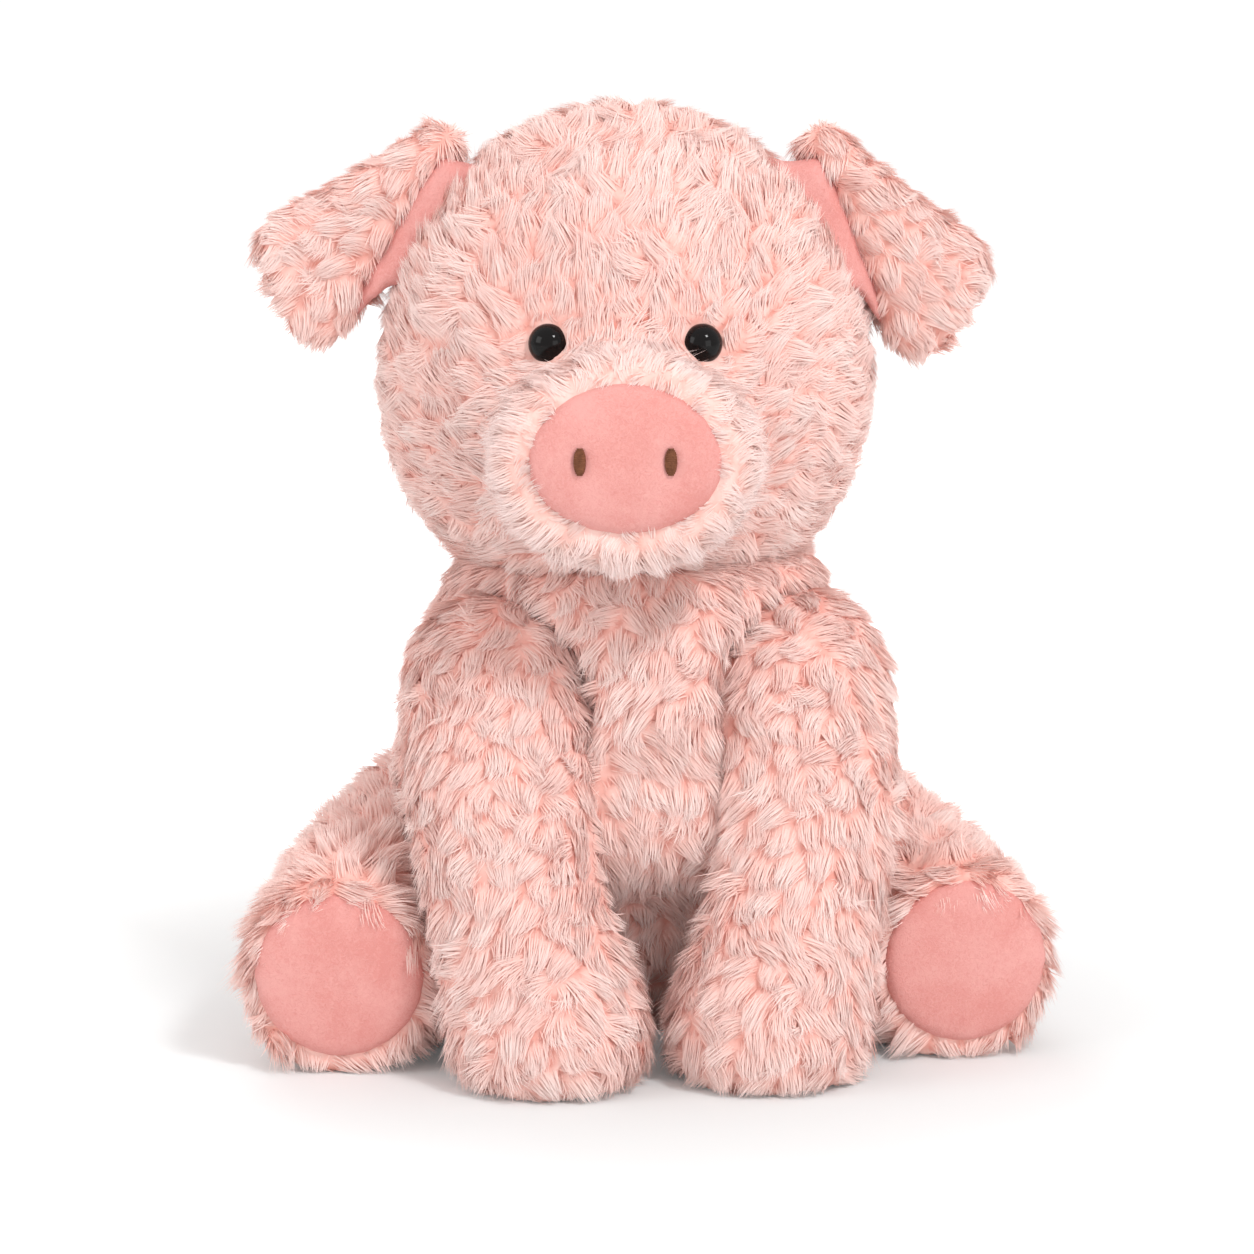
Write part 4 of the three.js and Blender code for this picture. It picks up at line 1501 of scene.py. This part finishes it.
@dataclass
class Nostril:
    """A nostril: rows of satin stitch across a small upright oval.

    Attributes:
        node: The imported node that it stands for.
        rows: How many stitches it has.
        thread: A stitch's radius.
        draw: How far the stitches draw the oval together, as a share of its width.
    """

    node: str
    rows: int = 15
    thread: float = 0.27 * MM
    draw: float = 0.72

    SIDES = 6
    CUTS = (-0.6, -0.2, 0.2, 0.6)

    def build(self) -> Object:
        """Lays the stitches.

        Returns:
            The nostril.
        """
        low, high = (np.array(corner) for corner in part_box(self.node))
        middle = (low + high) / 2
        half = (high - low) / 2
        bm = bmesh.new()
        for row in range(self.rows):
            height = (row + 0.5) / self.rows * 2.0 - 1.0
            width = self.draw * half[0] * math.sqrt(1.0 - height * height) + self.thread
            stitch = bmesh.ops.create_cone(
                bm, cap_ends=True, segments=self.SIDES, radius1=self.thread, radius2=self.thread, depth=2.0,
                matrix=Matrix.Rotation(math.pi / 2, 4, "Y"),
            )["verts"]
            for cut in self.CUTS:
                edges = {edge for point in stitch for edge in point.link_edges}
                faces = {face for point in stitch for face in point.link_faces}
                made = bmesh.ops.bisect_plane(
                    bm, geom=[*stitch, *edges, *faces], plane_co=(cut, 0.0, 0.0), plane_no=(1.0, 0.0, 0.0),
                )["geom_cut"]
                stitch += [item for item in made if isinstance(item, bmesh.types.BMVert)]
            for point in set(stitch):
                x = point.co.x
                point.co.y -= half[1] * (1.0 - x * x) * math.sqrt(1.0 - height * height)
                point.co.x = middle[0] + x * width
                point.co.y += middle[1]
                point.co.z += middle[2] + height * half[2]
        bmesh.ops.recalc_face_normals(bm, faces=bm.faces[:])
        piece = add_object(f"{self.node}_stitches", mesh_from(self.node, bm))
        THREAD.put_on(piece)
        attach(piece, "head")
        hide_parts(self.node)
        return piece


@dataclass
class Studio:
    """The floor, the light and the camera.

    Attributes:
        aim: The point that the camera looks at.
        distance: How far away the camera stands.
        azimuth: How far round from the pig's front the camera stands, in degrees, towards its right.
        elevation: How far up the camera stands, in degrees.
        lens: The lens's focal length in millimetres, on a 36 mm sensor.
    """

    aim: tuple[float, float, float] = (-2.6 * MM, 0.0, 105.6 * MM)
    distance: float = 1.27
    azimuth: float = 5.5
    elevation: float = 10.0
    lens: float = 140.2

    SENSOR = 36.0
    FLOOR_HALF = 6.0
    FLOOR_COLOUR = (0.80, 0.85, 0.86)
    WARM = (1.0, 0.92, 0.9)
    WHITE = (1.0, 1.0, 1.0)

    def camera(self) -> None:
        """Sets the camera at the photograph's viewing angle."""
        turn, rise = math.radians(self.azimuth), math.radians(self.elevation)
        away = Vector((-math.cos(rise) * math.sin(turn), -math.cos(rise) * math.cos(turn), math.sin(rise)))
        data = bpy.data.cameras.new("camera")
        data.lens = self.lens
        data.sensor_width = self.SENSOR
        view = add_object("camera", data)
        view.location = Vector(self.aim) + away * self.distance
        view.rotation_euler = (-away).to_track_quat("-Z", "Y").to_euler()
        bpy.context.scene.camera = view

    def floor(self) -> None:
        """Lays a pale floor that the camera sees as white, with the pig's shadow on it."""
        bm = bmesh.new()
        bmesh.ops.create_grid(bm, x_segments=1, y_segments=1, size=self.FLOOR_HALF)
        ground = add_object("floor", mesh_from("floor", bm))
        paint = bpy.data.materials.new("pale_floor")
        paint.use_nodes = True
        nodes = Nodes(paint.node_tree)
        shader = paint.node_tree.nodes["Principled BSDF"]
        nodes.put(shader, {"Base Color": (*self.FLOOR_COLOUR, 1.0), "Roughness": 0.9, "Specular IOR Level": 0.1})
        glow = nodes.add("ShaderNodeEmission")
        place = nodes.add("ShaderNodeTexCoord")
        reach = nodes.add("ShaderNodeVectorMath", operation="LENGTH")
        nodes.link(place.outputs["Object"], reach.inputs[0])
        level = nodes.add("ShaderNodeMapRange", interpolation_type="SMOOTHSTEP")
        nodes.put(level, {"From Min": 0.08, "From Max": 0.32, "To Min": 0.08, "To Max": 0.5})
        nodes.link(reach.outputs["Value"], level.inputs["Value"])
        nodes.link(level.outputs[0], glow.inputs["Strength"])
        both = nodes.add("ShaderNodeAddShader")
        nodes.link(shader.outputs[0], both.inputs[0])
        nodes.link(glow.outputs[0], both.inputs[1])
        pick = nodes.add("ShaderNodeMixShader")
        nodes.link(self.seen(nodes), pick.inputs[0])
        nodes.link(shader.outputs[0], pick.inputs[1])
        nodes.link(both.outputs[0], pick.inputs[2])
        nodes.link(pick.outputs[0], paint.node_tree.nodes["Material Output"].inputs["Surface"])
        ground.data.materials.append(paint)

    @staticmethod
    def seen(nodes: Nodes) -> NodeSocket:
        """One for rays from the camera, a mirror or a lens, and nought for light.

        Args:
            nodes: The nodes of the material or world.

        Returns:
            The value.
        """
        path = nodes.add("ShaderNodeLightPath")
        total = path.outputs["Is Camera Ray"]
        for name in ("Is Glossy Ray", "Is Transmission Ray"):
            more = nodes.add("ShaderNodeMath", operation="MAXIMUM")
            nodes.link(total, more.inputs[0])
            nodes.link(path.outputs[name], more.inputs[1])
            total = more.outputs[0]
        return total

    def world(self, strength: float = 0.7) -> None:
        """Surrounds the scene with white, and lights it more dimly and a little more warmly than it looks.

        Args:
            strength: The light that the surroundings give.
        """
        world = bpy.data.worlds.new("studio")
        bpy.context.scene.world = world
        world.use_nodes = True
        nodes = Nodes(world.node_tree)
        shade = world.node_tree.nodes["Background"]
        level = nodes.add("ShaderNodeMapRange")
        nodes.put(level, {"To Min": strength, "To Max": 1.0})
        nodes.link(self.seen(nodes), level.inputs["Value"])
        nodes.link(nodes.mix(self.seen(nodes), self.WARM, self.WHITE), shade.inputs["Color"])
        nodes.link(level.outputs[0], shade.inputs["Strength"])

    def lamps(self) -> None:
        """Hangs the soft boxes."""
        boxes = (
            ("key", (0.6, -1.05, 1.4), 0.3, 11.5),
            ("front", (0.85, -1.5, 0.4), 0.9, 5.0),
            ("fill", (-1.4, -0.6, 0.8), 0.8, 6.0),
            ("back", (-0.35, 1.45, 0.85), 0.9, 7.0),
        )
        for name, place, size, watts in boxes:
            data = bpy.data.lights.new(name, "AREA")
            data.size = size
            data.energy = watts
            lamp = add_object(name, data)
            lamp.location = place
            lamp.rotation_euler = (Vector(self.aim) - lamp.location).to_track_quat("-Z", "Y").to_euler()

    def build(self) -> None:
        """Makes the whole stage."""
        self.camera()
        self.floor()
        self.world()
        self.lamps()


def stuffed_parts() -> list[StuffedPart]:
    """The pig's stuffed parts.

    Returns:
        The body, the head, the legs and the ears.
    """
    backs = {f"body_back_panel_{side.word}": COAT for side in Side}
    parts: list[StuffedPart] = [
        Torso(
            "body", {"body_front_panel": COAT, **backs, "body_seat_panel": SEAT_COAT},
            fills=("body_stuffing", "pellet_bag"), seed=11,
        ),
        Head(
            "head", {"head_front_panel": COAT, "head_back_panel": COAT, "muzzle_panel": MUZZLE_COAT},
            pads=("snout_pad",), fills=("head_stuffing",), seed=12,
        ),
    ]
    for number, side in enumerate(Side):
        for kind, maker, coat in (("front_leg", FrontLeg, COAT), ("hind_leg", HindLeg, HIND_COAT)):
            parts.append(maker(
                f"{kind}_{side.word}", {f"{kind}_skin_{side.word}": coat}, pads=(f"{kind}_sole_{side.word}",),
                fills=(f"{kind}_stuffing_{side.word}",), seed=20 + number,
            ))
        parts.append(Ear(
            f"ear_{side.word}", {f"ear_outer_{side.word}": EAR_COAT}, pads=(f"ear_lining_{side.word}",),
            voxel=1.5 * MM, passes=5, seed=30 + number,
        ))
    return parts


TAIL_VOXEL = 0.9 * MM
TAIL_PASSES = 5


def make_tail() -> Object:
    """The curled velour tail.

    Returns:
        The tail.
    """
    piece = soft_copy("tail_velour", ("tail",), TAIL_VOXEL, TAIL_PASSES)
    VELOUR.put_on(piece)
    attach(piece, "tail")
    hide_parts("tail")
    return piece


def main() -> None:
    """Builds the stage and the pig, and reports each piece."""
    logging.basicConfig(level=logging.INFO, format="%(message)s")
    bpy.context.scene.view_settings.view_transform = "Standard"
    Studio().build()
    parts = stuffed_parts()
    for part in parts:
        part.shape()
    pieces: list[Object] = []
    for part in parts:
        pieces += part.dress([other.tree for other in parts if part.yields_to(other)])
    for side in Side:
        pieces.append(Eye(f"eye_{side.word}").build())
        pieces.append(Nostril(f"nostril_{side.word}").build())
        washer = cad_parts[f"eye_washer_{side.word}"].data
        washer.materials.clear()
        washer.materials.append(MOULDED.material())
    pieces.append(make_tail())
    total = 0
    for piece in pieces:
        faces = sum(len(face.vertices) - 2 for face in piece.data.polygons)
        total += faces
        log.info("%s: %d triangles", piece.name, faces)
    log.info("all pieces: %d triangles", total)


if __name__ == "__main__":
    main()
